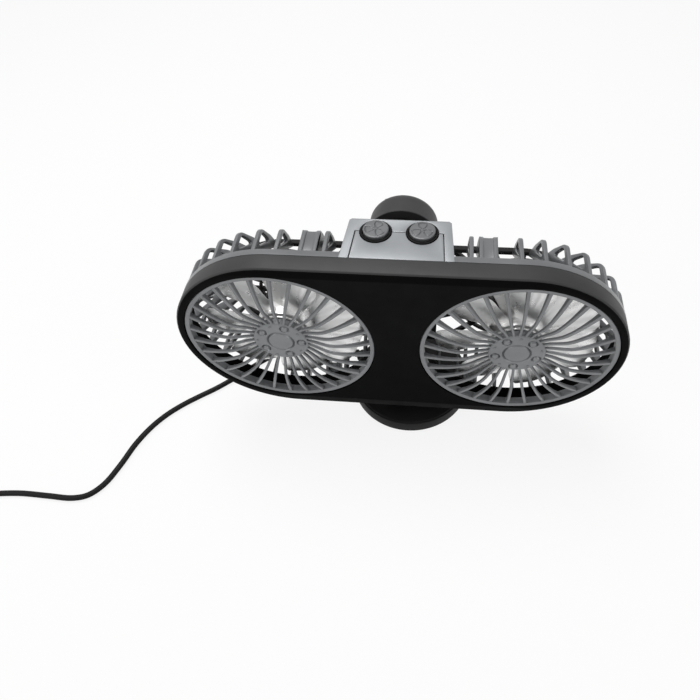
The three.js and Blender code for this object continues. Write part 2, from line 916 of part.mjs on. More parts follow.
function blade() {
  const root = (hubRadius + rotorBossRadius) / 2;
  const shape = polygon([
    [root, -bladeRootChord / 2],
    ...bladeEdgeShares.map(([reach, chord]) => [reach * bladeTip, chord * bladeTipChord]),
    [root, bladeRootChord / 2],
  ]);
  const geometry = new THREE.ExtrudeGeometry(shape, { depth: bladeThickness, bevelEnabled: false });
  geometry.translate(0, 0, -bladeThickness / 2);
  return geometry.rotateX(quarterTurn - bladePitch).translate(0, rotorFront + rotorDepth / 2, 0);
}

const hubInner = hubRadius - rotorWall;
const rotorBack = rotorFront + rotorDepth;

function rotor(turn) {
  const blades = [];
  for (let i = 0; i < bladeCount; i += 1) {
    blades.push(blade().rotateY(turn + (i * 2 * Math.PI) / bladeCount));
  }
  const shell = turned([
    [0, rotorFront],
    [hubRadius, rotorFront],
    [hubRadius, rotorBack],
    [hubInner, rotorBack],
    [hubInner, rotorFront + rotorWall],
    [rotorBossRadius, rotorFront + rotorWall],
    [rotorBossRadius, rotorFront + rotorBossLength],
    [shaftRadius + runningGap, rotorFront + rotorBossLength],
    [shaftRadius + runningGap, rotorFront + rotorWall],
    [0, rotorFront + rotorWall],
  ], 16);
  const hollow = rod((hubInner + hubRadius) / 2, rotorFront - rotorDepth, rotorBack + rotorDepth, 16);
  return cut(join(...blades), hollow).add(solidOf(shell));
}

function rotorCap() {
  const back = rotorFront - seatGap;
  return join(turned([
    [0, back - rotorCapHeight],
    [rotorCapRadius - rotorCapRound, back - rotorCapHeight],
    [rotorCapRadius, back - rotorCapHeight + rotorCapRound],
    [rotorCapRadius, back],
    [0, back],
  ], 16));
}

const shaft = join(rod(shaftRadius, shaftFront, shaftFront + shaftLength, 8));
const rotorTurns = { left: leftRotorTurn, right: rightRotorTurn };
for (const [side, x] of sides) {
  addPiece(head, `${side}_motor`, motor(), steel).position.x = x;
  addPiece(head, `${side}_shaft`, shaft, steel).position.x = x;
  addPiece(head, `${side}_rotor`, rotor(rotorTurns[side]), silverPlastic).position.x = x;
  addPiece(head, `${side}_rotor_cap`, rotorCap(), brightSilver).position.x = x;
}

// Ball joint pieces on the head's side

function ballSocket() {
  const barrel = rod(barrelRadius, flangeFront, barrelBack, 24).translate(0, 0, ballRise);
  const flange = plate(roundedRectangle(flangeHalfWidth, flangeHalfHeight, flangeCorner), flangeFront, flangeBack, 4);
  const pocketRadius = ballRadius + runningGap + linerWall + seatGap;
  const pocket = new THREE.SphereGeometry(pocketRadius, 18, 10).translate(0, ballDepth, ballRise);
  let solid = cut(join(barrel, flange.translate(0, 0, ballRise)), pocket);
  for (const [x, z] of socketScrewPlaces) {
    const hole = rod(screwRadius + seatGap, flangeFront - overrun, flangeBack + overrun, 8);
    solid = cut(solid, hole.translate(x, 0, z));
  }
  return solid;
}

function socketLiner() {
  const inner = ballRadius + runningGap;
  const outer = inner + linerWall;
  const cutDepth = -linerCut;
  return join(turned([
    ...arcProfile(outer, 0, Math.PI, Math.acos(cutDepth / outer), 5),
    ...arcProfile(inner, 0, Math.acos(cutDepth / inner), Math.PI, 5),
  ], 16));
}

function clampNut() {
  const seat = ballRadius + runningGap;
  const bore = barrelRadius + runningGap;
  const seatFront = runningGap;
  const holeAngle = Math.asin((nutHoleRadius - runningGap) / seat);
  const shoulder = nutShoulder - ballDepth;
  const back = nutBack - ballDepth;
  const roundSteps = 4;
  const outer = [];
  for (let i = 0; i <= roundSteps; i += 1) {
    const angle = (i * quarterTurn) / roundSteps;
    outer.push([
      nutBackRadius + (nutShoulderRadius - nutBackRadius) * Math.cos(angle),
      shoulder + (back - shoulder) * Math.sin(angle),
    ]);
  }
  return join(turned([
    [bore, nutFront - ballDepth],
    [nutRimRadius, nutFront - ballDepth],
    ...outer,
    [nutHoleRadius, back],
    ...arcProfile(seat, 0, holeAngle, Math.acos(seatFront / seat), 3),
    [bore, seatFront],
  ], 20));
}

addPiece(head, 'ball_socket', ballSocket(), blackPlastic);
addPiece(head, 'socket_liner', socketLiner(), softBlack).position.set(0, ballDepth, ballRise);
addPiece(head, 'clamp_nut', clampNut(), blackPlastic).position.set(0, ballDepth, ballRise);

// Stand: ball stud, arm, turntable, pivot, base and pad

function ballStud() {
  const collarFront = armFront - seatGap - studCollarThickness - armReach;
  const collarBack = armFront - seatGap - armReach;
  const neckAngle = Math.asin(neckRadius / ballRadius);
  return join(turned([
    ...arcProfile(ballRadius, 0, Math.PI, neckAngle, 9).map(([r, y], i) => [i === 0 ? 0 : r, y]),
    [neckRadius, collarFront],
    [studCollarRadius, collarFront],
    [studCollarRadius, collarBack],
    [studRadius, collarBack],
    [studRadius, collarBack + seatGap + studLength],
    [0, collarBack + seatGap + studLength],
  ], 16));
}

addPiece(stand, 'ball_stud', ballStud(), steel).position.set(0, armReach, ballHeight);

const limbBottom = tableTop + seatGap;
const armScrewPlaces = [armScrewNear, armScrewFar];

function armShape() {
  const back = armFront + armDepth;
  const limbTop = limbBottom + armLimb;
  const top = ballHeight + armRise;
  const start = seatMiddle - seatLength;
  const shape = new THREE.Shape();
  shape.moveTo(start, limbBottom);
  shape.lineTo(back - armOuterCorner, limbBottom);
  shape.absarc(back - armOuterCorner, limbBottom + armOuterCorner, armOuterCorner, -quarterTurn, 0, false);
  shape.lineTo(back, top - armCorner);
  shape.absarc(back - armCorner, top - armCorner, armCorner, 0, quarterTurn, false);
  shape.lineTo(armFront, top);
  shape.lineTo(armFront, limbTop + armInnerCorner);
  shape.absarc(armFront - armInnerCorner, limbTop + armInnerCorner, armInnerCorner, 0, -quarterTurn, true);
  shape.lineTo(start, limbTop);
  shape.closePath();
  return shape;
}

function supportArm() {
  let solid = join(sideProfile(armShape(), 2 * armHalfWidth));
  const studHole = rod(studRadius + seatGap, armFront - overrun, armFront + studLength + seatGap);
  solid = cut(solid, studHole.translate(0, 0, ballHeight));
  for (const y of armScrewPlaces) {
    const top = tableTop - seatThickness - seatGap + armScrewLength + seatGap;
    const hole = post(armScrewRadius + seatGap, limbBottom - overrun, top, 12);
    solid = cut(solid, hole.translate(0, y, 0));
  }
  return solid;
}

addPiece(stand, 'support_arm', supportArm(), blackPlastic);

function turntable() {
  const bore = pivotRadius + seatGap;
  const postTop = baseTop + basePostRise + runningGap;
  const under = tableTop - tableWall;
  const bell = turnedUpright([
    [0, tableTop],
    [tableFlatRadius, tableTop],
    [tableRadius, tableBottom + tableRim],
    [tableRadius, tableBottom],
    [tableRadius - tableWall, tableBottom],
    [tableFlatRadius, under],
    [basePostRadius, under],
    [basePostRadius, postTop],
    [bore, postTop],
    [bore, tableTop - tableWall / 2],
    [0, tableTop - tableWall / 2],
  ], 24);
  const seat = box(
    -seatHalfWidth,
    seatHalfWidth,
    basePostRadius - tableWall,
    seatMiddle + seatLength,
    tableTop - seatThickness,
    tableTop,
  );
  let solid = join(bell, seat);
  for (const y of armScrewPlaces) {
    const hole = post(armScrewRadius + seatGap, tableBottom - overrun, tableTop + overrun, 8);
    solid = cut(solid, hole.translate(0, y, 0));
  }
  return solid;
}

addPiece(stand, 'turntable', turntable(), softBlack);

const armScrew = join(turnedUpright([
  [0, armScrewLength],
  [armScrewRadius, armScrewLength],
  [armScrewRadius, 0],
  [armScrewHeadRadius, 0],
  [armScrewHeadRadius, -armScrewHeadHeight],
  [0, -armScrewHeadHeight],
], 8));
armScrewPlaces.forEach((y, i) => {
  const place = [0, y, tableTop - seatThickness - seatGap];
  addPiece(stand, `arm_screw_${i + 1}`, armScrew, steel).position.set(...place);
});

const boreStep = baseBottom + counterboreDepth;
const washerTop = boreStep - seatGap;
const pivotHeadTop = washerTop - washerThickness - seatGap;

const washer = join(turnedUpright([
  [washerRadius, washerTop],
  [washerRadius, washerTop - washerThickness],
  [pivotRadius + seatGap, washerTop - washerThickness],
  [pivotRadius + seatGap, washerTop],
], 14));
addPiece(stand, 'pivot_washer', washer, steel);

const pivotTop = tableTop - tableWall / 2 - seatGap;
const pivot = join(turnedUpright([
  [0, pivotTop],
  [pivotRadius, pivotTop],
  [pivotRadius, pivotHeadTop],
  [pivotHeadRadius, pivotHeadTop],
  [pivotHeadRadius, pivotHeadTop - pivotHeadHeight],
  [0, pivotHeadTop - pivotHeadHeight],
], 12));
addPiece(stand, 'pivot_screw', pivot, steel);

function reliefHole() {
  const hole = rod(reliefRadius + seatGap, baseTopRadius - baseWall - overrun, baseRadius + overrun);
  return hole.translate(0, 0, exitHeight).rotateZ(exitAngle - quarterTurn);
}

function footBase() {
  const inner = baseTopRadius - baseWall;
  const body = turnedUpright([
    [pivotRadius + runningGap, baseTop + basePostRise],
    [basePostRadius, baseTop + basePostRise],
    [basePostRadius, baseBottom + baseFloor],
    [inner, baseBottom + baseFloor],
    [inner, baseTop],
    [baseTopRadius, baseTop],
    [baseRadius, baseBottom],
    [washerRadius + seatGap, baseBottom],
    [washerRadius + seatGap, boreStep],
    [pivotRadius + runningGap, boreStep],
  ], 24);
  return cut(join(body), reliefHole());
}

addPiece(fan, 'foot_base', footBase(), blackPlastic);
addPiece(fan, 'foot_pad', join(post(padRadius, 0, padThickness, 24)), rubber);

// Strain relief

function strainRelief() {
  const inner = baseTopRadius - baseWall + seatGap;
  const flange = baseRadius + seatGap;
  const geometry = turned([
    [0, inner],
    [reliefRadius, inner],
    [reliefRadius, flange],
    [reliefFlangeRadius, flange],
    [reliefFlangeRadius, flange + reliefFlangeThickness],
    [reliefRadius, flange + reliefFlangeThickness],
    [reliefEndRadius, reliefReach],
    [0, reliefReach],
  ], 10);
  return join(geometry.translate(0, 0, exitHeight).rotateZ(exitAngle - quarterTurn));
}

addPiece(fan, 'strain_relief', strainRelief(), rubber);

// Lead

function leadRun() {
  const path = new THREE.CatmullRomCurve3(cordRun.map((p) => new THREE.Vector3(...p)), false, 'centripetal');
  const section = new THREE.Shape();
  for (let i = 0; i < cordSides; i += 1) {
    const angle = ((i + 0.5) * 2 * Math.PI) / cordSides;
    const method = i === 0 ? 'moveTo' : 'lineTo';
    section[method](cordRadius * Math.cos(angle), cordRadius * Math.sin(angle));
  }
  section.closePath();
  const steps = Math.round(path.getLength() / cordStep);
  return join(new THREE.ExtrudeGeometry(section, { steps, extrudePath: path, bevelEnabled: false }));
}

const coilOuterRadius = coilInnerRadius + (coilPitch * coilLoops) / 2;
const coilDirection = new THREE.Vector3(-Math.sin(coilStartAngle), Math.cos(coilStartAngle), 0);
const plugZ = plugHeight / 2;

// The coil spirals in on the table, climbs a layer in the half turn where it reverses, and spirals out
function coilPoints() {
  const points = [];
  const middle = coilLoops / 2;
  const count = coilLoops * coilSteps;
  for (let i = 0; i <= count; i += 1) {
    const turns = i / coilSteps;
    const radius = coilInnerRadius + coilPitch * Math.abs(turns - middle);
    const climb = THREE.MathUtils.clamp((turns - middle) * 2 + 0.5, 0, 1);
    const angle = coilStartAngle + turns * 2 * Math.PI;
    points.push(new THREE.Vector3(
      coilX + radius * Math.cos(angle),
      coilY + radius * Math.sin(angle),
      cordRadius + climb * coilLayer,
    ));
  }
  return points;
}

function coilPath() {
  const turns = coilPoints();
  const lead = turns[0].clone().addScaledVector(coilDirection, -2 * cordRadius);
  const end = turns[turns.length - 1];
  const drop = end.z - plugZ;
  const [dropStart, dropEnd] = [tailShares[0], tailShares[tailShares.length - 2]];
  const tail = tailShares.map((share) => {
    const point = end.clone().addScaledVector(coilDirection, share * tailLength);
    point.z -= drop * THREE.MathUtils.smoothstep(share, dropStart, dropEnd);
    return point;
  });
  return [lead, ...turns, ...tail];
}

function tube(path, radius, sideCount) {
  const places = [];
  const corners = [];
  const up = new THREE.Vector3(0, 0, 1);
  path.forEach((point, i) => {
    const before = path[Math.max(i - 1, 0)];
    const after = path[Math.min(i + 1, path.length - 1)];
    const along = after.clone().sub(before).normalize();
    const across = new THREE.Vector3().crossVectors(up, along).normalize();
    const over = new THREE.Vector3().crossVectors(along, across);
    for (let j = 0; j < sideCount; j += 1) {
      const angle = ((j + 0.5) * 2 * Math.PI) / sideCount;
      const place = point.clone();
      place.addScaledVector(across, radius * Math.sin(angle));
      place.addScaledVector(over, radius * Math.cos(angle));
      places.push(place.x, place.y, place.z);
    }
  });
  for (let i = 0; i + 1 < path.length; i += 1) {
    for (let j = 0; j < sideCount; j += 1) {
      const k = (j + 1) % sideCount;
      const [a, b] = [i * sideCount + j, i * sideCount + k];
      const [c, d] = [a + sideCount, b + sideCount];
      corners.push(a, b, c, b, d, c);
    }
  }
  const last = (path.length - 1) * sideCount;
  for (let j = 1; j + 1 < sideCount; j += 1) {
    corners.push(0, j + 1, j, last, last + j, last + j + 1);
  }
  const geometry = new THREE.BufferGeometry();
  geometry.setAttribute('position', new THREE.Float32BufferAttribute(places, 3));
  geometry.setIndex(corners);
  return join(geometry);
}

function leastCoilGap(path) {
  let least = Infinity;
  for (let i = 0; i < path.length; i += 1) {
    for (let j = i + coilSteps / 2; j < path.length; j += 1) {
      least = Math.min(least, path[i].distanceTo(path[j]));
    }
  }
  return least - 2 * cordRadius;
}

const coil = coilPath();
console.log(`least gap of the coil to itself: ${leastCoilGap(coil).toFixed(2)} mm`);
addPiece(fan, 'cord_run', leadRun(), rubber);
addPiece(fan, 'cord_coil', tube(coil, cordRadius, coilSides), rubber);

// USB plug at the end of the coil, lying on the table

function plugBody() {
  const outline = roundedRectangle(plugWidth / 2, plugHeight / 2, plugCorner);
  const body = bevelledPlate(outline, plugNeckLength, plugNeckLength + plugLength, faceChamfer, 3);
  const neck = turned([
    [0, 0],
    [plugNeckRadius * plugNeckEndShare, 0],
    [plugNeckRadius, plugNeckLength + faceChamfer * 2],
    [0, plugNeckLength + faceChamfer * 2],
  ], 12);
  const socket = plate(
    roundedRectangle(shellWidth / 2 + seatGap, shellHeight / 2 + seatGap, shellCorner + seatGap),
    plugNeckLength + plugLength - shellSeat,
    plugNeckLength + plugLength + overrun,
    2,
  );
  return cut(join(neck, body), socket);
}

function plugShell() {
  const front = plugNeckLength + plugLength - shellSeat + seatGap;
  const outer = plate(roundedRectangle(shellWidth / 2, shellHeight / 2, shellCorner), front, front + shellLength, 2);
  const inner = plate(
    roundedRectangle(shellWidth / 2 - shellWall, shellHeight / 2 - shellWall, shellCorner / 2),
    front + shellWall,
    front + shellLength + overrun,
    2,
  );
  const tongue = box(
    -tongueWidth / 2,
    tongueWidth / 2,
    front,
    front + shellLength - tongueShort,
    shellWall - shellHeight / 2,
    shellWall - shellHeight / 2 + tongueHeight,
  );
  return cut(join(outer), inner).add(solidOf(tongue));
}

const plug = new THREE.Group();
const plugPlace = coil[coil.length - 1].clone().addScaledVector(coilDirection, seatGap);
plug.position.copy(plugPlace);
plug.rotation.z = coilStartAngle;
fan.add(plug);
addPiece(plug, 'usb_plug_body', plugBody(), softBlack);
addPiece(plug, 'usb_plug_shell', plugShell(), steel);

export default fan;
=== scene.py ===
# Dual head car fan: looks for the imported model, in metres, in the model's own frame.
# Lengths below are in millimetres, as in the model's source, and are scaled when a mesh is made.

import json
import math

import bmesh
import bpy
from mathutils import Matrix, Vector

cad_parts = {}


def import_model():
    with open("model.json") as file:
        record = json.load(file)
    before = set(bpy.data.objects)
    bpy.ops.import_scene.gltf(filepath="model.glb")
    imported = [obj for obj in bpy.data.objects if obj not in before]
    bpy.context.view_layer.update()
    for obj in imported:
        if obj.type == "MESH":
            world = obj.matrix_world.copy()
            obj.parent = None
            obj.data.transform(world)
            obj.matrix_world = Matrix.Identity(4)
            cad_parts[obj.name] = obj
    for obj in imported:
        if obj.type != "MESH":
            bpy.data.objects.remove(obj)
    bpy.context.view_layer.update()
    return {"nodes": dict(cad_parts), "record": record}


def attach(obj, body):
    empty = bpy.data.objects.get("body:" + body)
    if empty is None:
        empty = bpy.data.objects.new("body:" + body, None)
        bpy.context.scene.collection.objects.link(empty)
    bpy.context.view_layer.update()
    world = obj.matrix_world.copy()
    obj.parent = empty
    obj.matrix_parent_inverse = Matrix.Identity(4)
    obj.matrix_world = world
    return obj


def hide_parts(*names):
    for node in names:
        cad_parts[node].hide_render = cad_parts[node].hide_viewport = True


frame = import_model()

MM = 0.001
HEAD = Vector((-5.0012, -35.2040, 85.0))
BALL = Vector((-5.0012, 18.7960, 120.0))
ARM_ANGLE = math.radians(14.9)
STAND = Matrix.Rotation(ARM_ANGLE, 4, "Z")
IN_HEAD = Matrix.Translation(HEAD)
BODY_OF = {n: b for b, nodes in frame["record"]["behaviour"]["bodies"].items() for n in nodes}
SLOT_OF = {s["node"]: s["material_slot"] for s in frame["record"]["subparts"]}

# The head in its own frame: X across, Y as depth behind the face, Z up
GRILLE_X = 61.7
GRILLE_R = 50.0
END_X = 59.5
END_STEPS = 40
HEAD_R = 56.2
BEZEL_FRONT = -0.7
BEZEL_BACK = 8.4
DUCT_BACK = 11.8
STRIP_FRONT = 8.7
STRIP_BACK = 12.5
RAIL_R = 37.5
RAIL_WALL = 2.5
RAIL_FRONT = 36.0
RAIL_BACK = 39.5
CORD_R = 1.75
CREASE = math.radians(32)


# Camera, worked out from the two grilles in the photograph

SENSOR_WIDTH = 36.0
LENS = 29.987
SHIFT_X = -0.05118
SHIFT_Y = 0.00731
CAMERA_PLACE = Vector((14.15, -214.71, 329.12))
CAMERA_RIGHT = Vector((0.99523959, 0.0912074, -0.03434184))
CAMERA_UP = Vector((-0.05389618, 0.80866985, 0.58578859))
CAMERA_BACK = Vector((0.08119946, -0.58114911, 0.80973598))


def make_camera():
    data = bpy.data.cameras.new("camera")
    data.sensor_fit = "HORIZONTAL"
    data.sensor_width = SENSOR_WIDTH
    data.lens = LENS
    data.shift_x = SHIFT_X
    data.shift_y = SHIFT_Y
    data.clip_start = 0.01
    data.clip_end = 20
    camera = bpy.data.objects.new("camera", data)
    turn = Matrix((CAMERA_RIGHT, CAMERA_UP, CAMERA_BACK)).transposed().to_4x4()
    camera.matrix_world = Matrix.Translation(CAMERA_PLACE * MM) @ turn
    bpy.context.scene.collection.objects.link(camera)
    bpy.context.scene.camera = camera


make_camera()


# Materials

NOISE_LOW = 0.3
NOISE_HIGH = 0.7
COLOUR_SCALE = 45
FINISH_SCALE = 120
GRAIN_HEIGHT = 0.00006


def grey(level):
    return level, level, level


def noise(tree, scale, detail, stretch=(1, 1, 1)):
    place = tree.nodes.new("ShaderNodeTexCoord")
    mapping = tree.nodes.new("ShaderNodeMapping")
    mapping.inputs["Scale"].default_value = stretch
    texture = tree.nodes.new("ShaderNodeTexNoise")
    texture.inputs["Scale"].default_value = scale
    texture.inputs["Detail"].default_value = detail
    tree.links.new(place.outputs["Object"], mapping.inputs["Vector"])
    tree.links.new(mapping.outputs["Vector"], texture.inputs["Vector"])
    return texture.outputs["Fac"]


def spread(tree, value, low, high):
    ramp = tree.nodes.new("ShaderNodeMapRange")
    ramp.inputs["From Min"].default_value = NOISE_LOW
    ramp.inputs["From Max"].default_value = NOISE_HIGH
    ramp.inputs["To Min"].default_value = low
    ramp.inputs["To Max"].default_value = high
    tree.links.new(value, ramp.inputs["Value"])
    return ramp.outputs["Result"]


def tinted(tree, value, dark, light):
    ramp = tree.nodes.new("ShaderNodeValToRGB")
    ends = ramp.color_ramp.elements
    for end, position, colour in ((ends[0], NOISE_LOW, dark), (ends[1], NOISE_HIGH, light)):
        end.position = position
        end.color = (*colour, 1)
    tree.links.new(value, ramp.inputs["Fac"])
    return ramp.outputs["Color"]


def moulded(name, dark, light, rough, metal=0.0, specular=0.5, grain=900, bump=0.15, stretch=(1, 1, 1)):
    """A moulded, painted or plated surface: slow colour change, fine grain and uneven roughness."""
    material = bpy.data.materials.new(name)
    material.use_nodes = True
    tree = material.node_tree
    shader = next(n for n in tree.nodes if n.type == "BSDF_PRINCIPLED")
    colour = tinted(tree, noise(tree, COLOUR_SCALE, 3.0), dark, light)
    tree.links.new(colour, shader.inputs["Base Color"])
    roughness = spread(tree, noise(tree, FINISH_SCALE, 5.0, stretch), *rough)
    tree.links.new(roughness, shader.inputs["Roughness"])
    shader.inputs["Metallic"].default_value = metal
    shader.inputs["Specular IOR Level"].default_value = specular
    relief = tree.nodes.new("ShaderNodeBump")
    relief.inputs["Strength"].default_value = bump
    relief.inputs["Distance"].default_value = GRAIN_HEIGHT
    tree.links.new(noise(tree, grain, 2.0, stretch), relief.inputs["Height"])
    tree.links.new(relief.outputs["Normal"], shader.inputs["Normal"])
    return material


LOOKS = {}


def slot_look(slot, *surface, **finish):
    LOOKS[slot] = moulded(slot, *surface, **finish)


slot_look("black_plastic", grey(0.007), grey(0.011), (0.4, 0.52), specular=0.15, grain=2600)
slot_look("soft_black", grey(0.003), grey(0.005), (0.5, 0.66), specular=0.09, grain=1800, bump=0.3)
slot_look(
    "silver_plastic", (0.22, 0.23, 0.24), (0.26, 0.27, 0.28), (0.34, 0.44),
    metal=0.35, grain=3200, bump=0.2,
)
slot_look(
    "bright_silver", (0.5, 0.51, 0.53), (0.6, 0.61, 0.63), (0.2, 0.3),
    metal=0.7, grain=3200, bump=0.1,
)
slot_look(
    "steel", (0.48, 0.48, 0.5), (0.6, 0.6, 0.62), (0.22, 0.36),
    metal=1.0, grain=1400, stretch=(1, 12, 1),
)
slot_look("rubber", grey(0.003), grey(0.005), (0.45, 0.6), specular=0.14, grain=2200, bump=0.3)
slot_look("board", (0.012, 0.1, 0.04), (0.02, 0.14, 0.06), (0.3, 0.45), bump=0.2)

# Painted shade: the bezel's face is the same black plastic as its skirt, made far darker here to stand for
# the shade on its forward-facing front.
PAINTED_SHADE_BLACK_LOOK = moulded(
    "black_painted_shade", grey(0.0016), grey(0.0024), (0.5, 0.6),
    specular=0.03, grain=3000, bump=0.1,
)
# Painted light: a lighter copy of the same black plastic, used for the skirt and the clamp nut, standing for
# the light from above falling on them.
PAINTED_LIGHT_BLACK_LOOK = moulded(
    "black_painted_light", (0.03, 0.03, 0.031), (0.04, 0.039, 0.039), (0.42, 0.5),
    specular=0.18, grain=2600, bump=0.2,
)
# Painted shade: a darker copy of the silver plastic for the strip, fins and screw blocks, standing for the
# shade on the fins' sides.
PAINTED_SHADE_SILVER_LOOK = moulded(
    "housing_silver_painted_shade", (0.12, 0.124, 0.128), (0.15, 0.155, 0.16), (0.28, 0.36),
    metal=0.35, grain=3200,
)
BUTTON_LOOK = moulded(
    "button_silver", (0.11, 0.113, 0.116), (0.135, 0.138, 0.142), (0.3, 0.4),
    metal=0.35, grain=3200,
)
GRILLE_LOOK = moulded(
    "grille_silver", (0.2, 0.207, 0.215), (0.24, 0.247, 0.255), (0.32, 0.42),
    metal=0.35, grain=3200, bump=0.2,
)
BLADE_LOOK = moulded(
    "blade_silver", grey(0.82), (0.88, 0.88, 0.87), (0.26, 0.32),
    metal=0.95, grain=2400, bump=0.0,
)


# Mesh helpers: each returns (points in millimetres, faces)

def moved(solid, place):
    return [place @ Vector(p) for p in solid[0]], solid[1]


def joined(*solids):
    points, faces = [], []
    for more, their in solids:
        base = len(points)
        points += [Vector(p) for p in more]
        faces += [[base + i for i in face] for face in their]
    return points, faces


def turned(profile, segments=72):
    """A profile of (radius, depth) turned about the Y axis, closed on itself unless it ends on the axis."""
    on_axis = profile[0][0] == 0 and profile[-1][0] == 0
    points, rings = [], []
    for radius, depth in profile:
        if radius == 0:
            rings.append([len(points)])
            points.append((0, depth, 0))
            continue
        rings.append([len(points) + i for i in range(segments)])
        for i in range(segments):
            angle = 2 * math.pi * i / segments
            points.append((radius * math.sin(angle), depth, radius * math.cos(angle)))
    pairs = list(zip(rings, rings[1:]))
    if not on_axis:
        pairs.append((rings[-1], rings[0]))
    faces = []
    for a, b in pairs:
        for i in range(segments):
            j = (i + 1) % segments
            corners = [a[i % len(a)], a[j % len(a)], b[j % len(b)], b[i % len(b)]]
            face = list(dict.fromkeys(corners))
            if len(face) > 2:
                faces.append(face)
    return points, faces


UPRIGHT = Matrix.Rotation(math.pi / 2, 4, "X")


def upright(profile, segments=72):
    """The same about the Z axis, the profile's depth going up."""
    return moved(turned(profile, segments), UPRIGHT)


def domed(edge, rings, around, relief, closing):
    """A disc on a polar grid, its depth from relief(radius, angle), closed by rings of (radius, depth)."""
    loops = [(edge * i / rings, None) for i in range(1, rings + 1)]
    loops += closing
    points = [(0, relief(0, 0), 0)]
    for radius, depth in loops:
        for j in range(around):
            angle = 2 * math.pi * j / around
            made = relief(radius, angle) if depth is None else depth
            points.append((radius * math.sin(angle), made, radius * math.cos(angle)))
    faces = [[0, 1 + j, 1 + (j + 1) % around] for j in range(around)]
    last = 1
    for _ in loops[1:]:
        for j in range(around):
            k = (j + 1) % around
            faces.append([last + j, last + k, last + around + k, last + around + j])
        last += around
    faces.append([last + j for j in range(around)])
    return points, faces


def groove(off, half):
    """The depth of a rounded groove at a distance from its middle, as a share of its full depth."""
    return max(1 - (off / half) ** 2, 0)


def smooth(t):
    return t * t * (3 - 2 * t)


def stadium(radius):
    """The head's outline at a radius: up round the right end, then down round the left."""
    points = []
    for sign in (1, -1):
        for i in range(END_STEPS + 1):
            angle = sign * -math.pi / 2 + math.pi * i / END_STEPS
            points.append((sign * END_X + radius * math.cos(angle), radius * math.sin(angle)))
    return points


def arc(x, y, radius, start, end, steps=24):
    """Points on a circle from one angle to another, in degrees."""
    made = []
    for i in range(steps + 1):
        angle = math.radians(start + (end - start) * i / steps)
        made.append((x + radius * math.cos(angle), y + radius * math.sin(angle)))
    return made


def swept(profile):
    """A closed profile of (radius, depth) carried round the head's stadium in the X-Z plane."""
    loops = [stadium(radius) for radius, _ in profile]
    count = len(loops[0])
    points = [(x, depth, z) for (_, depth), loop in zip(profile, loops) for x, z in loop]
    faces = []
    for k in range(len(profile)):
        after = (k + 1) % len(profile)
        for i in range(count):
            j = (i + 1) % count
            faces.append([k * count + i, k * count + j, after * count + j, after * count + i])
    return points, faces


def rounded(points, radius, steps=5):
    """A closed outline with each corner rounded, by a radius or one for each corner."""
    made = []
    radii = radius if isinstance(radius, (list, tuple)) else [radius] * len(points)
    for i, corner in enumerate(points):
        corner = Vector(corner)
        before = Vector(points[i - 1]) - corner
        after = Vector(points[(i + 1) % len(points)]) - corner
        half = before.angle(after) / 2
        cut = min(radii[i] / math.tan(half), before.length * 0.45, after.length * 0.45)
        start = corner + before.normalized() * cut
        end = corner + after.normalized() * cut
        for k in range(steps + 1):
            t = k / steps
            made.append(tuple(start * (1 - t) ** 2 + corner * 2 * t * (1 - t) + end * t * t))
    return made


def box(half_width, half_height):
    return [
        (-half_width, -half_height), (half_width, -half_height),
        (half_width, half_height), (-half_width, half_height),
    ]


def plate(outlines, low, high, edge=0.3, steps=2):
    """Closed outlines, the first outside and the rest holes, raised along Z with rounded edges."""
    curve = bpy.data.curves.new("outline", "CURVE")
    curve.dimensions = "2D"
    curve.fill_mode = "BOTH"
    curve.extrude = (high - low) / 2 - edge
    curve.bevel_depth = edge
    curve.bevel_resolution = steps
    curve.offset = -edge
    for outline in outlines:
        spline = curve.splines.new("POLY")
        spline.points.add(len(outline) - 1)
        for point, (x, y) in zip(spline.points, outline):
            point.co = (x, y, 0, 1)
        spline.use_cyclic_u = True
    holder = bpy.data.objects.new("outline", curve)
    mesh = bpy.data.meshes.new_from_object(holder)
    middle = (low + high) / 2
    points = [(v.co.x, v.co.y, v.co.z + middle) for v in mesh.vertices]
    faces = [list(face.vertices) for face in mesh.polygons]
    bpy.data.objects.remove(holder)
    bpy.data.curves.remove(curve)
    bpy.data.meshes.remove(mesh)
    return points, faces


# From a plate's own X, Y, Z to: X, depth, height of the head's face; and to depth, height, width
FACING = Matrix(((1, 0, 0, 0), (0, 0, 1, 0), (0, 1, 0, 0), (0, 0, 0, 1)))
SIDEWAYS = Matrix(((0, 0, 1, 0), (1, 0, 0, 0), (0, 1, 0, 0), (0, 0, 0, 1)))


def block(x, y, z, edge=0.3):
    outline = [(x[0], y[0]), (x[1], y[0]), (x[1], y[1]), (x[0], y[1])]
    return plate([outline], z[0], z[1], edge)


def piece(name, solid, node, place=IN_HEAD, look=None):
    """One mesh piece that stands for a node, rides on its body and takes its slot."""
    mesh = bpy.data.meshes.new(name)
    points = [tuple((place @ Vector(p)) * MM) for p in solid[0]]
    mesh.from_pydata(points, [], solid[1])
    work = bmesh.new()
    work.from_mesh(mesh)
    bmesh.ops.remove_doubles(work, verts=work.verts, dist=0.000002)
    bmesh.ops.recalc_face_normals(work, faces=work.faces)
    for edge in work.edges:
        edge.smooth = len(edge.link_faces) == 2 and edge.calc_face_angle(0) < CREASE
    for face in work.faces:
        face.smooth = True
    work.to_mesh(mesh)
    work.free()
    slot = SLOT_OF[node]
    mesh.materials.append(look or LOOKS[slot])
    made = bpy.data.objects.new(name, mesh)
    bpy.context.scene.collection.objects.link(made)
    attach(made, BODY_OF[node])
    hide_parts(node)
    return made


# Lead: its run over the floor, the coil it ends in and the short tail to the plug

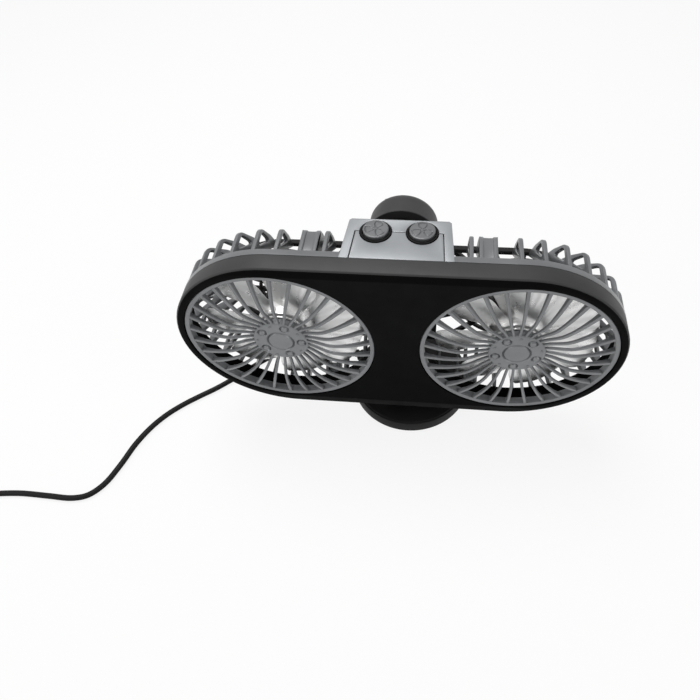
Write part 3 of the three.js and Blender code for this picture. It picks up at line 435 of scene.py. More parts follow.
RUN = [
    (-47.4, 22.1, 5.6), (-51.0, 23.8, 5.6), (-59.5, 26.6, 4.4), (-70.0, 27.2, 2.3),
    (-81.0, 24.4, 1.75), (-93.0, 17.6, 1.75), (-104.0, 9.2, 1.75), (-113.0, 0.8, 1.75),
    (-121.3, -7.2, 1.75), (-130.4, -15.0, 1.75), (-139.6, -21.7, 1.75), (-148.6, -28.7, 1.75),
    (-157.0, -36.7, 1.75), (-164.5, -46.7, 1.75), (-170.8, -59.5, 1.75), (-175.6, -75.0, 1.75),
    (-181.0, -87.8, 1.75), (-188.2, -95.2, 1.75), (-197.2, -97.8, 1.75), (-212.0, -97.6, 1.75),
    (-232.0, -97.4, 1.75), (-254.0, -100.2, 1.75), (-272.0, -104.7, 1.75), (-284.4, -108.45, 1.75),
    (-292.04, -110.79, 1.75),
]
RUN_STEPS = 5
COIL = Vector((-288.0, -137.0, 0.0))
COIL_START = math.radians(107)
COIL_WAY = Vector((-math.sin(COIL_START), math.cos(COIL_START), 0))
COIL_R = 16
COIL_PITCH = 4.1
COIL_RISE = 4
COIL_STEPS = 48
LOOPS = 5
TAIL = 26
TAIL_STEPS = 13
TAIL_FALL = (0.4, 0.86)
PLUG_Z = 3.9


def smooth_run(points):
    """A centripetal curve through the points."""
    known = [Vector(p) for p in points]
    known = [known[0] * 2 - known[1], *known, known[-1] * 2 - known[-2]]
    made = []
    for i in range(1, len(known) - 2):
        p = known[i - 1:i + 3]
        t = [0.0]
        for a, b in zip(p, p[1:]):
            t.append(t[-1] + max((b - a).length, 1e-6) ** 0.5)
        for k in range(RUN_STEPS):
            at = t[1] + (t[2] - t[1]) * k / RUN_STEPS
            a1 = p[0] * ((t[1] - at) / (t[1] - t[0])) + p[1] * ((at - t[0]) / (t[1] - t[0]))
            a2 = p[1] * ((t[2] - at) / (t[2] - t[1])) + p[2] * ((at - t[1]) / (t[2] - t[1]))
            a3 = p[2] * ((t[3] - at) / (t[3] - t[2])) + p[3] * ((at - t[2]) / (t[3] - t[2]))
            b1 = a1 * ((t[2] - at) / (t[2] - t[0])) + a2 * ((at - t[0]) / (t[2] - t[0]))
            b2 = a2 * ((t[3] - at) / (t[3] - t[1])) + a3 * ((at - t[1]) / (t[3] - t[1]))
            made.append(b1 * ((t[2] - at) / (t[2] - t[1])) + b2 * ((at - t[1]) / (t[2] - t[1])))
    made.append(known[-2])
    return made


def clamped(value):
    return min(max(value, 0), 1)


def coil_run():
    """Loops that wind inward on the floor, climb over themselves and wind outward, then the tail."""
    made = []
    for i in range(LOOPS * COIL_STEPS + 1):
        turns = i / COIL_STEPS
        past_middle = turns - LOOPS / 2
        radius = COIL_R + COIL_PITCH * abs(past_middle)
        climb = clamped(past_middle * 2 + 0.5)
        angle = COIL_START + turns * 2 * math.pi
        height = CORD_R + COIL_RISE * climb
        made.append(COIL + Vector((radius * math.cos(angle), radius * math.sin(angle), height)))
    end = made[-1].copy()
    for k in range(1, TAIL_STEPS + 1):
        share = k / TAIL_STEPS
        fall = smooth(clamped((share - TAIL_FALL[0]) / (TAIL_FALL[1] - TAIL_FALL[0])))
        point = end + COIL_WAY * (TAIL * share)
        point.z -= (end.z - PLUG_Z) * fall
        made.append(point)
    return made


cord_points = smooth_run(RUN) + coil_run()


def make_cord():
    curve = bpy.data.curves.new("lead", "CURVE")
    curve.dimensions = "3D"
    curve.bevel_depth = CORD_R * MM
    curve.bevel_resolution = 4
    curve.use_fill_caps = True
    spline = curve.splines.new("POLY")
    spline.points.add(len(cord_points) - 1)
    for point, place in zip(spline.points, cord_points):
        point.co = (*(place * MM), 1)
    spline.use_smooth = True
    curve.materials.append(LOOKS["rubber"])
    lead = bpy.data.objects.new("lead", curve)
    bpy.context.scene.collection.objects.link(lead)
    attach(lead, BODY_OF["cord_run"])
    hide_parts("cord_run", "cord_coil")
    return lead


lead = make_cord()


# Front bezel: rounded face with two openings, skirt and ducts

SKIRT_R = HEAD_R - 2.0
FACE_BACK = 1.5
SEAT_R = GRILLE_R + 0.3
SEAT_FRONT = 0.4
SEAT_BACK = 4.7
DUCT_OUTER = GRILLE_R + 1.7
DUCT_INNER = GRILLE_R - 1.4
HOLE_STEPS = 96


def hole(x):
    turn = [2 * math.pi * i / HOLE_STEPS for i in range(HOLE_STEPS)]
    return [(x + SEAT_R * math.cos(a), SEAT_R * math.sin(a)) for a in turn]


def front_bezel():
    skirt = swept([
        (HEAD_R, BEZEL_BACK), (HEAD_R, 0.3), (HEAD_R - 0.12, -0.1), (HEAD_R - 0.4, -0.45),
        (HEAD_R - 0.8, BEZEL_FRONT), (SKIRT_R, BEZEL_FRONT + 0.2), (SKIRT_R, FACE_BACK),
        (SKIRT_R, BEZEL_BACK),
    ])
    outlines = [stadium(HEAD_R - 0.7), hole(-GRILLE_X), hole(GRILLE_X)]
    face = moved(plate(outlines, BEZEL_FRONT, FACE_BACK, 0.12, 1), FACING)
    duct = turned([
        (DUCT_OUTER, SEAT_FRONT), (DUCT_OUTER, DUCT_BACK), (DUCT_INNER, DUCT_BACK),
        (DUCT_INNER, SEAT_BACK), (SEAT_R, SEAT_BACK), (SEAT_R, SEAT_FRONT),
    ], HOLE_STEPS)
    ducts = [moved(duct, Matrix.Translation((x, 0, 0))) for x in (-GRILLE_X, GRILLE_X)]
    return skirt, joined(face, *ducts)


bezel_skirt, bezel_face = front_bezel()
# The skirt takes the lighter black, which is painted light from above.
piece("front_bezel_skirt", bezel_skirt, "front_bezel", look=PAINTED_LIGHT_BLACK_LOOK)
# The face takes the darker black, which is painted shade.
piece("front_bezel_face", bezel_face, "front_bezel", look=PAINTED_SHADE_BLACK_LOOK)


# Grilles: rim, bulged spokes and a hub with a ring, lugs and dimples

LEFT_TURN = math.radians(3.2)
RIGHT_TURN = math.radians(22.2)
RIM_BACK = 4.4
HUB_R = 14.5
HUB_INNER = 12.1
HUB_DEPTH = 0.8
HUB_EDGE = 13.9
RING_R = 6.9
RING_HALF = 0.5
LUGS = 5
LUG_TURN = math.radians(15.8)
LUG_CIRCLE = 11.1
LUG_R = 2.1
LUG_HALF = 0.4
DOT_CIRCLE = 12.4
DOT_R = 0.8
SPOKES = 30
SPOKE_STATIONS = 16
SPOKE_START = 13.3
SPOKE_END = 49.0
SPOKE_PEAK = 0.44
SPOKE_DEPTH = 1.4
SPOKE_FOOT = HUB_DEPTH + 0.3
SPOKE_RISE = 3.5
SPOKE_FALL = 2.9


def hub_face(turn):
    """The hub's front as a fine polar grid, with its grooves and lugs pressed into it."""
    lugs = [LUG_TURN + turn + 2 * math.pi * i / LUGS for i in range(LUGS)]
    dots = [angle + math.pi / LUGS for angle in lugs]

    def depth(radius, angle):
        def distance(circle, way):
            return math.hypot(
                radius * math.sin(angle) - circle * math.sin(way),
                radius * math.cos(angle) - circle * math.cos(way),
            )

        made = HUB_DEPTH + 1.2 * max(radius - HUB_EDGE, 0) ** 2
        made += 0.9 * groove(radius - RING_R, RING_HALF)
        if radius < RING_R - RING_HALF:
            made -= 0.15
        for lug in lugs:
            off = distance(LUG_CIRCLE, lug)
            made += groove(off - LUG_R, LUG_HALF)
            if off < LUG_R - LUG_HALF:
                made -= 0.4
        for dot in dots:
            made += groove(distance(DOT_CIRCLE, dot), DOT_R)
        return made

    return domed(HUB_R, 44, 150, depth, [(HUB_R, RIM_BACK), (HUB_INNER, RIM_BACK), (HUB_INNER, 3.2)])


def spoke_front(share):
    """How far the spoke's front edge lies from the rim's plane, at a share of its way outward."""
    if share < SPOKE_PEAK:
        return SPOKE_FOOT - SPOKE_RISE * smooth(share / SPOKE_PEAK)
    t = (share - SPOKE_PEAK) / (1 - SPOKE_PEAK)
    return SPOKE_FOOT - SPOKE_RISE + SPOKE_FALL * t * t * (1.3 - 0.3 * t)


def spoke():
    points, faces = [], []
    for i in range(SPOKE_STATIONS + 1):
        share = i / SPOKE_STATIONS
        radius = SPOKE_START + (SPOKE_END - SPOKE_START) * share
        front = spoke_front(share)
        half = 0.66 + 0.28 * share
        outward = max((share - SPOKE_PEAK) / (1 - SPOKE_PEAK), 0)
        back = front + SPOKE_DEPTH + 1.8 * outward ** 2
        left = [(-half, back), (-half, front + 0.5), (-half * 0.8, front + 0.15), (-half * 0.4, front)]
        right = [(-x, y) for x, y in reversed(left)]
        points += [(x, y, radius) for x, y in left + right]
    corners = len(left + right)
    for i in range(SPOKE_STATIONS):
        a = i * corners
        for j in range(corners):
            k = (j + 1) % corners
            faces.append([a + j, a + k, a + corners + k, a + corners + j])
    faces.append(list(range(corners)))
    faces.append(list(range(len(points) - corners, len(points))))
    return points, faces


def grille(turn):
    rim = turned([
        (GRILLE_R, 0.25), (GRILLE_R, RIM_BACK), (47.6, RIM_BACK), (47.6, 0.3), (47.8, 0.05),
        (48.2, -0.1), (49.7, -0.1),
    ], 120)
    places = [Matrix.Rotation(turn + 2 * math.pi * i / SPOKES, 4, "Y") for i in range(SPOKES)]
    return joined(rim, hub_face(turn), *[moved(spoke(), place) for place in places])


for side, x, turn in (("left", -GRILLE_X, LEFT_TURN), ("right", GRILLE_X, RIGHT_TURN)):
    place = IN_HEAD @ Matrix.Translation((x, 0, 0))
    piece(f"{side}_grille_spokes", grille(turn), f"{side}_grille", place, GRILLE_LOOK)


# Rotors: twisted, cupped blades on a cup shaped hub, and their bright caps

LEFT_ROTOR_TURN = math.radians(-28.6)
RIGHT_ROTOR_TURN = math.radians(9.4)
BLADES = 7
BLADE_START = 12.5
BLADE_END = 42.0
BLADE_DEPTH = 14
BLADE_HALF = 0.7
BLADE_CAMBER = 1.5
BLADE_SKEW = 0.35
ROOT_CHORD = 17
TIP_CHORD = 33
FULL_CHORD_AT = 0.625
ROOT_PITCH = 24
TIP_PITCH = 16
TIP_START = 0.86
TIP_ROUNDING = 0.55


def blade():
    across, along = 9, 12
    sheets = []
    for side in (-1, 1):
        points = []
        for i in range(along + 1):
            share = i / along
            radius = BLADE_START + (BLADE_END - BLADE_START) * share
            chord = ROOT_CHORD + (TIP_CHORD - ROOT_CHORD) * min(share / FULL_CHORD_AT, 1)
            past = max((share - TIP_START) / (1 - TIP_START), 0)
            chord *= math.sqrt(1 - TIP_ROUNDING * past ** 2)
            pitch = math.radians(ROOT_PITCH + (TIP_PITCH - ROOT_PITCH) * share)
            for j in range(across + 1):
                v = j / across - 0.5
                thick = BLADE_HALF * math.sqrt(max(1 - (2 * v) ** 2, 0.03))
                off = BLADE_CAMBER * (1 - 4 * v * v) - BLADE_HALF + side * thick
                flat = chord * v
                depth = BLADE_DEPTH + flat * math.sin(pitch) - off * math.cos(pitch)
                height = flat * math.cos(pitch) + off * math.sin(pitch)
                reach = math.sqrt(radius * radius - BLADE_SKEW * height * height)
                points.append((reach, depth, height))
        sheets.append(points)
    width = across + 1
    total = (along + 1) * width
    faces = []
    for i in range(along):
        for j in range(across):
            a = i * width + j
            faces.append([a, a + 1, a + width + 1, a + width])
            faces.append([total + a, total + a + width, total + a + width + 1, total + a + 1])
    edge = list(range(width))
    edge += [i * width + across for i in range(1, along + 1)]
    edge += [along * width + j for j in range(across - 1, -1, -1)]
    edge += [i * width for i in range(along - 1, 0, -1)]
    for a, b in zip(edge, edge[1:] + edge[:1]):
        faces.append([a, b, total + b, total + a])
    return sheets[0] + sheets[1], faces


def rotor(turn):
    shell = turned([
        (0, 8.0), (13.8, 8.0), (14.3, 8.2), (14.5, 8.7), (14.5, 20.0), (12.5, 20.0), (12.5, 10.0),
        (3.4, 10.0), (3.4, 16.0), (1.3, 16.0), (1.3, 10.0), (0, 10.0),
    ], 64)
    places = [Matrix.Rotation(turn + 2 * math.pi * i / BLADES, 4, "Y") for i in range(BLADES)]
    return joined(shell, *[moved(blade(), place) for place in places])


rotor_cap = turned([
    (0, 6.2), (6.0, 6.22), (10.0, 6.3), (12.2, 6.5), (12.8, 6.8), (13.0, 7.2), (13.0, 7.7), (0, 7.7),
], 64)
for side, x, turn in (("left", -GRILLE_X, LEFT_ROTOR_TURN), ("right", GRILLE_X, RIGHT_ROTOR_TURN)):
    place = IN_HEAD @ Matrix.Translation((x, 0, 0))
    piece(f"{side}_rotor_blades", rotor(turn), f"{side}_rotor", place, BLADE_LOOK)
    piece(f"{side}_rotor_cap_disc", rotor_cap, f"{side}_rotor_cap", place, BLADE_LOOK)


# Rear housing: strip, fins with rounded windows, screw blocks, rail, control box and rear guards

FIN_HALF = 1.0
FIN_R = HEAD_R - 0.2
FIN_PITCH = 11.3
TOP_FINS = (3, 5)
BOTTOM_FINS = (2, 3, 5)
END_FINS = 7
END_FIN_PITCH = math.radians(11.71)
BLOCK_LOW = 37.4
BLOCK_HIGH = 45.9
STRIP_INNER = HEAD_R - 3.0
STRIP_END = 26.3
TROUGH_FLOOR = 55.0
TROUGH_UNDER = 53.3
TROUGH_CURVE = 0.9
TROUGH_LENGTH = 17.6
BUTTON_X = 11
BUTTON_Y = 26.6
BITE_R = 7.8
BOX_PLAN = [
    (-26.5, STRIP_FRONT), (26.5, STRIP_FRONT), (24.5, 34.3), (23.3, 35.3), (-23.3, 35.3), (-24.5, 34.3),
]
BOX_LOW = 33.0
GUARD_HUB = 13
STRUTS = 16
STRUT_END = 60
GUARD_RINGS = (19.3, 25.1, 30.9)


def fin(pierced):
    outline = rounded([
        (11.5, FIN_R), (27.0, FIN_R), (33.2, FIN_R * 0.82), (36.6, 37.3),
        (37.0, 36.2), (36.0, 35.2), (11.5, 53.4),
    ], [0.3, 6.5, 6.0, 1.0, 0.6, 0.6, 0.3], 8)
    outlines = [outline]
    if pierced:
        outlines.append(rounded([(16.6, 53.6), (26.4, 53.6), (30.4, 44.6)], [1.4, 3.2, 1.4], 8))
    return moved(plate(outlines, -FIN_HALF, FIN_HALF, 0.5, 3), SIDEWAYS)


def fin_places():
    """Each fin's X and angle, and whether it is pierced: along the head, at the blocks and ends."""
    places = [(0.0, math.pi, True)]
    for steps in BOTTOM_FINS:
        for x in (-steps * FIN_PITCH, steps * FIN_PITCH):
            if steps in TOP_FINS:
                places.append((x, 0.0, True))
            places.append((x, math.pi, True))
    for x in (BLOCK_LOW + FIN_HALF, BLOCK_HIGH - FIN_HALF):
        for sign in (-1, 1):
            places += [(sign * x, 0.0, False), (sign * x, math.pi, False)]
    for i in range(-END_FINS, END_FINS + 1):
        angle = math.pi / 2 + i * END_FIN_PITCH
        places += [(END_X, angle, True), (-END_X, -angle, True)]
    return places


def control_box():
    """The fixed frame round the cover: a U in plan with a half round bite at each button."""
    top = [BOX_PLAN[0], *reversed(BOX_PLAN[1:]), (22.1, STRIP_FRONT), (21.1, 27.0)]
    for x in (BUTTON_X, -BUTTON_X):
        top += arc(x, BUTTON_Y, BITE_R, 2.2, 177.8)
    top += [(-21.1, 27.0), (-22.1, STRIP_FRONT)]
    ring = plate([top], HEAD_R - 2.3, HEAD_R, 0.25)
    inner = [(-23.8, 11.0), (23.8, 11.0), (22.4, 33.0), (-22.4, 33.0)]
    walls = plate([BOX_PLAN, inner], BOX_LOW, HEAD_R - 2.0, 0.2)
    bottom = plate([BOX_PLAN], BOX_LOW, BOX_LOW + 2.0, 0.2)
    ledge_in = [(-20.0, 11.0), (20.0, 11.0), (19.0, 17.0), (-19.0, 17.0)]
    ledge = plate([inner, ledge_in], HEAD_R - 4.0, HEAD_R - 2.35, 0.1)
    return joined(ring, walls, bottom, ledge)


def trough(low, high, flip):
    """The hollow between a screw block's fins: a floor that curves up to them."""
    steps = 10
    across = [low + (high - low) * i / steps for i in range(steps + 1)]
    from_middle = [abs((2 * x - low - high) / (high - low)) for x in across]
    outline = [(x, TROUGH_FLOOR + TROUGH_CURVE * off ** 3) for x, off in zip(across, from_middle)]
    outline += [(x, TROUGH_UNDER) for x in reversed(across)]
    made = moved(plate([outline], 0, TROUGH_LENGTH, 0.15, 1), FACING)
    return moved(made, Matrix.Translation((0, STRIP_FRONT, 0)) @ Matrix.Diagonal((1, 1, flip, 1)))


def strip():
    """The band behind the bezel, open at the top where the control box stands in it."""
    profile = [
        (HEAD_R, STRIP_FRONT), (HEAD_R, 12.1), (HEAD_R - 0.15, 12.38), (HEAD_R - 0.4, STRIP_BACK),
        (HEAD_R - 2.7, STRIP_BACK), (STRIP_INNER, 12.2), (STRIP_INNER, STRIP_FRONT),
    ]
    points = []
    for radius, depth in profile:
        loop = stadium(radius)
        right, left = loop[:END_STEPS + 1], loop[END_STEPS + 1:]
        path = [(STRIP_END, radius), *reversed(right), *reversed(left), (-STRIP_END, radius)]
        points += [(x, depth, z) for x, z in path]
    count = len(path)
    faces = []
    for k in range(len(profile)):
        after = (k + 1) % len(profile)
        for i in range(count - 1):
            faces.append([k * count + i, k * count + i + 1, after * count + i + 1, after * count + i])
    faces.append([k * count for k in range(len(profile))])
    faces.append([k * count + count - 1 for k in range(len(profile))])
    return points, faces


def strut_reach(x, way):
    """How far a strut runs from a guard's centre: to the middle of the rail's wall, or into the panel."""
    for tenths in range(GUARD_HUB * 10, STRUT_END * 10):
        past_end = max(abs(x + way.x * tenths / 10) - END_X, 0)
        if math.hypot(past_end, way.y * tenths / 10) > RAIL_R - RAIL_WALL / 2:
            return tenths / 10
    return STRUT_END


def rear_guard(x):
    pieces = [turned([
        (0, RAIL_BACK), (13.2, RAIL_BACK), (13.8, 39.2), (14.0, 38.7), (14.0, 24.0), (12.3, 24.0),
        (12.3, 37.8), (0, 37.8),
    ], 64)]
    for i in range(STRUTS):
        angle = 2 * math.pi * i / STRUTS
        way = Vector((math.cos(angle), -math.sin(angle)))
        strut = block((GUARD_HUB, strut_reach(x, way)), (36.3, 39.2), (-1.0, 1.0))
        pieces.append(moved(strut, Matrix.Rotation(angle, 4, "Y")))
    for radius in GUARD_RINGS:
        pieces.append(turned([
            (radius, 36.8), (radius, 38.7), (radius - 0.2, 38.9), (radius - 1.4, 38.9),
            (radius - 1.6, 38.7), (radius - 1.6, 36.8), (radius - 1.4, 36.6), (radius - 0.2, 36.6),
        ], 72))
    return [moved(part, Matrix.Translation((x, 0, 0))) for part in pieces]


def rear_housing():
    """The strip, the fins and the four screw blocks."""
    parts = [strip()]
    for x, angle, pierced in fin_places():
        place = Matrix.Translation((x, 0, 0)) @ Matrix.Rotation(angle, 4, "Y")
        parts.append(moved(fin(pierced), place))
    for low, high in ((-BLOCK_HIGH, -BLOCK_LOW), (BLOCK_LOW, BLOCK_HIGH)):
        for flip in (-1, 1):
            parts.append(trough(low, high, flip))
            z = sorted((flip * 47.0, flip * 54.7))
            parts.append(block((low, high), (STRIP_FRONT, STRIP_BACK), z, 0.2))
    return joined(*parts)


def inner_housing():
    """The rear rail, the pillar behind the face, the rear panel and the two rear guards."""
    rail_inner = RAIL_R - RAIL_WALL
    rail = swept([
        (RAIL_R, RAIL_FRONT + 0.4), (RAIL_R, RAIL_BACK - 0.5), (RAIL_R - 0.5, RAIL_BACK),
        (rail_inner + 0.5, RAIL_BACK), (rail_inner, RAIL_BACK - 0.5), (rail_inner, RAIL_FRONT + 0.4),
        (rail_inner + 0.4, RAIL_FRONT), (RAIL_R - 0.4, RAIL_FRONT),
    ])
    pillar = block((-12.5, 12.5), (STRIP_BACK, RAIL_BACK), (-54.7, 34.0), 0.4)
    outline = rounded([(-20, -36.5), (20, -36.5), (20, 50), (-20, 50)], 3.0)
    panel = moved(plate([outline], RAIL_FRONT, RAIL_BACK, 0.4), FACING)
    return joined(rail, pillar, panel, *rear_guard(-GRILLE_X), *rear_guard(GRILLE_X))


# The shell takes the darker silver, which is painted shade; the control box keeps the silver of its slot.
piece("rear_housing_shell", rear_housing(), "rear_housing", look=PAINTED_SHADE_SILVER_LOOK)
piece("rear_housing_box", control_box(), "rear_housing")
piece("rear_housing_guards", inner_housing(), "rear_housing", look=LOOKS["black_plastic"])


# Control cover, collars and buttons

LEFT_SIGN_TURN = math.radians(69)
RIGHT_SIGN_TURN = math.radians(90)
SIGN_BLADES = 3
SIGN_R = 4.9
SIGN_EYE = 0.9
SIGN_LINE = 0.36
BUTTON_TOP = 58.1
BUTTON_R = 6.1
BUTTON_FLAT = 5.6


def control_cover():
    outline = [(-21.6, STRIP_FRONT), (21.6, STRIP_FRONT), (20.6, 26.5)]
    for x in (BUTTON_X, -BUTTON_X):
        outline += arc(x, BUTTON_Y, BITE_R, 0, -180)
    outline += [(-20.6, 26.5)]
    return plate([outline], HEAD_R - 2.0, HEAD_R, 0.2)


def button(turn):
    """A round button with a plain fan sign of three broad blades pressed into its top."""
    ways = [turn + 2 * math.pi * i / SIGN_BLADES for i in range(SIGN_BLADES)]

    def height(radius, angle):
        made = BUTTON_TOP - 1.4 * max(radius - BUTTON_FLAT, 0) ** 2
        half = math.radians(23 + 11 * math.sin(math.pi * min(radius / SIGN_R, 1)))
        off = min(abs(math.remainder(angle - way, 2 * math.pi)) for way in ways)
        inside = min(radius * math.sin(half - off), SIGN_R - radius, radius - SIGN_EYE)
        made -= 0.45 * groove(inside, SIGN_LINE)
        return made - 0.1 * clamped(inside / SIGN_LINE)

    closing = [(BUTTON_R, 50.7), (6.9, 50.7), (6.9, 49.2), (1.5, 49.2), (1.5, 47.8)]
    return moved(domed(BUTTON_R, 36, 144, height, closing), SIDEWAYS)


piece("control_cover_panel", control_cover(), "control_cover")
collar = upright([
    (7.5, 51.0), (7.5, 56.4), (7.35, 56.62), (7.1, 56.7), (6.8, 56.7), (6.5, 56.6), (6.4, 56.3), (6.4, 51.0),
])
for side, x, turn in (("left", -BUTTON_X, LEFT_SIGN_TURN), ("right", BUTTON_X, RIGHT_SIGN_TURN)):
    place = IN_HEAD @ Matrix.Translation((x, BUTTON_Y, 0))
    piece(f"{side}_button_ring", collar, f"{side}_button_collar", place)
    piece(f"{side}_button_top", button(turn), f"{side}_button", place, BUTTON_LOOK)


# Ball joint, arm and foot

BALL_R = 9
STUD_R = 3
ARM_HALF = 7.0
ARM_FRONT = -9
ARM_BACK = 41
ARM_LOW = 15.7
ARM_TOP = 126
BOW_BACK = 33
BOW_LOW = 22.2
ARM_BEND = 9
ARM_TOP_BEND = 7
BOW_BEND = 6


def clamp_nut():
    outer = [(18.3, -9.0), (18.5, -8.7), (18.35, -6.0), (17.9, 1.0)]
    steps = 12
    for i in range(1, steps + 1):
        angle = math.pi / 2 * i / steps
        outer.append((13.2 + 4.7 * math.cos(angle), 1.0 + 6.0 * math.sin(angle)))
    inside = [(7.9, 7.0), (8.1, 4.55), (9.0, 2.3), (9.3, 0.3), (13.8, 0.3), (13.8, -9.0)]
    return turned(outer + inside, 96)


def ball_socket():
    barrel = turned([
        (13.5, -14.2), (13.5, -2.6), (13.1, -2.0), (11.2, -2.0), (9.5, -5.9), (6.5, -9.2), (0, -11.3),
        (0, -14.2),
    ], 72)
    flange = moved(plate([rounded(box(18.3, 13.5), 3.0)], -14.2, -11.5, 0.4), FACING)
    return joined(barrel, flange)


def ball_stud():
    steps = 18
    ball = [(0, -BALL_R)]
    for i in range(1, steps + 1):
        angle = math.pi - (math.pi - math.asin(STUD_R / BALL_R)) * i / steps
        ball.append((BALL_R * math.sin(angle), BALL_R * math.cos(angle)))
    rest = [
        (STUD_R, 11.25), (4.7, 11.25), (5.0, 11.5), (5.0, 13.25), (2.6, 13.25), (2.6, 19.05), (0, 19.05),
    ]
    return turned(ball + rest, 48)


def arm_outline():
    """The arm's side: a limb over the turntable and one that rises behind the ball joint."""
    points = [(ARM_FRONT, ARM_LOW)]
    points += arc(ARM_BACK - ARM_BEND, ARM_LOW + ARM_BEND, ARM_BEND, -90, 0, 12)
    points += arc(ARM_BACK - ARM_TOP_BEND, ARM_TOP - ARM_TOP_BEND, ARM_TOP_BEND, 0, 90, 10)
    points += [(BOW_BACK, ARM_TOP), (BOW_BACK, BOW_LOW + BOW_BEND)]
    points += arc(BOW_BACK - BOW_BEND, BOW_LOW + BOW_BEND, BOW_BEND, 0, -90, 10)
    points += [(ARM_FRONT, BOW_LOW)]
    return points


in_ball = Matrix.Translation(BALL)
in_arm = STAND @ Matrix.Translation((0, 19.45, BALL.z))
# The nut takes the lighter black as well, which is painted light on its top.
piece("clamp_nut_dome", clamp_nut(), "clamp_nut", in_ball, PAINTED_LIGHT_BLACK_LOOK)
piece("ball_socket_barrel", ball_socket(), "ball_socket", in_ball)
piece("ball_stud_pin", ball_stud(), "ball_stud", in_arm)
arm = moved(plate([arm_outline()], -ARM_HALF, ARM_HALF, 1.0, 3), SIDEWAYS)
piece("support_arm_bow", arm, "support_arm", STAND)

turntable = upright([
    (0, 15.4), (12.0, 15.4), (35.6, 10.9), (36.2, 10.6), (36.4, 10.2), (36.4, 9.6), (34.3, 9.6),
    (12.0, 13.3), (8.0, 13.3), (8.0, 11.0), (3.2, 11.0), (3.2, 14.3), (0, 14.3),
], 96)
seat = block((-8.0, 8.0), (5.9, 27.0), (11.2, 15.4), 0.4)
piece("turntable_plate", joined(turntable, seat), "turntable", STAND)

base = upright([
    (3.2, 10.7), (8.0, 10.7), (8.0, 4.0), (34.2, 4.0), (34.2, 9.3), (36.7, 9.3), (37.1, 9.1),
    (37.25, 8.7), (37.85, 2.4), (37.6, 2.0), (5.5, 2.0), (5.5, 5.8), (3.2, 5.8),
], 96)
piece("foot_base_ring", base, "foot_base", Matrix())
pad = upright([(0, 0), (36.2, 0), (36.6, 0.3), (36.6, 1.5), (36.3, 1.7), (0, 1.7)], 96)
piece("foot_pad_disc", pad, "foot_pad", Matrix())


# Strain relief with rings, and the plug

LEAD_EXIT_ANGLE = math.radians(155)
LEAD_EXIT_Z = 5.6
RELIEF_R = 2.9
RELIEF_END_R = 2.3
RELIEF_START = 39.6
RELIEF_END = 52.0
RING_SINK = 0.45
SHELL_START = 30.3
SHELL_EDGE = 0.1


def strain_relief():
    profile = [
        (0, 34.5), (RELIEF_R, 34.5), (RELIEF_R, 38.2), (3.9, 38.2), (4.0, 38.4), (4.0, 39.4),
        (3.8, RELIEF_START), (RELIEF_R, RELIEF_START),
    ]
    for i in range(5):
        at = RELIEF_START + 1.0 + i * 2.1
        share = (at - RELIEF_START) / (RELIEF_END - RELIEF_START)
        radius = RELIEF_R + (RELIEF_END_R - RELIEF_R) * share
        sunk = radius - RING_SINK
        profile += [(radius, at), (sunk, at + 0.35), (sunk, at + 0.95), (radius - 0.05, at + 1.3)]
    profile += [(RELIEF_END_R, RELIEF_END - 0.4), (RELIEF_END_R - 0.2, RELIEF_END), (0, RELIEF_END)]
    return turned(profile, 40)


exit_turn = Matrix.Rotation(LEAD_EXIT_ANGLE - math.pi / 2, 4, "Z")
exit_place = Matrix.Translation((0, 0, LEAD_EXIT_Z)) @ exit_turn
piece("strain_relief_boot", strain_relief(), "strain_relief", exit_place)


def plug_body():
    outline = rounded(box(7.8, 3.9), 2.6)
    opening = rounded(box(6.3, 2.55), 0.9)
    body = moved(plate([outline], 9.0, 30.2, 0.8, 3), FACING)
    mouth = moved(plate([outline, opening], 30.0, 36.0, 0.25, 2), FACING)
    neck = [(0, 0), (2.25, 0)]
    for i in range(3):
        at = 1.4 + i * 2.3
        high = 2.45 + i * 0.2
        low = high - 0.4
        neck += [(high, at), (low, at + 0.3), (low, at + 0.9), (high + 0.05, at + 1.2)]
    neck += [(3.0, 10.6), (0, 10.6)]
    ribs = [block((-5.5 + i * 2.2, -4.6 + i * 2.2), (14, 27), (3.6, 4.2), 0.15) for i in range(5)]
    return joined(body, mouth, turned(neck, 40), *ribs)


def plug_shell():
    outer = rounded(box(6, 2.25), 0.7)
    inner = rounded(box(5.5, 1.75), 0.4)
    tube = moved(plate([outer, inner], SHELL_START, 48.9, SHELL_EDGE, 1), FACING)
    back = moved(plate([outer], SHELL_START, 31.0, SHELL_EDGE, 1), FACING)
    tongue = block((-5.3, 5.3), (30.4, 47.7), (-1.75, -0.05), 0.15)
    return joined(tube, back, tongue)


plug_at = cord_points[-1] + COIL_WAY * 0.3
in_plug = Matrix.Translation(plug_at) @ Matrix.Rotation(COIL_START, 4, "Z")
plug = piece("usb_plug_grip", plug_body(), "usb_plug_body", in_plug)
shell = piece("usb_plug_shell_tube", plug_shell(), "usb_plug_shell", in_plug)


# Screws with crossed recesses, their heads toward the rear

SCREW_R = 0.8
SCREW_HEAD_R = 1.8
SCREW_HEAD = 1.5
CROSS_HALF = 0.16 * SCREW_HEAD_R
CROSS_END = 0.6 * SCREW_HEAD_R
CROSS_DEPTH = 0.6
CROSS_TIP = 0.7


def screw(length):
    """Pan head at +Y with a cross pressed into it, over a plain shank."""
    def front(radius, angle):
        off = sorted((abs(radius * math.sin(angle)), abs(radius * math.cos(angle))))
        made = SCREW_HEAD - 0.35 * (radius / SCREW_HEAD_R) ** 3
        if off[0] < CROSS_HALF and off[1] < CROSS_END:
            made -= CROSS_DEPTH if radius else CROSS_TIP
        return made

    closing = [(SCREW_HEAD_R, 0.0), (SCREW_R, 0.0), (SCREW_R, -length)]
    return domed(SCREW_HEAD_R, 10, 48, front, closing)


def screws(name, made, depth, places):
    for i, (x, z) in enumerate(places):
        place = IN_HEAD @ Matrix.Translation((x, depth, z))
        piece(f"{name}_{i + 1}_head", made, f"{name}_{i + 1}", place)


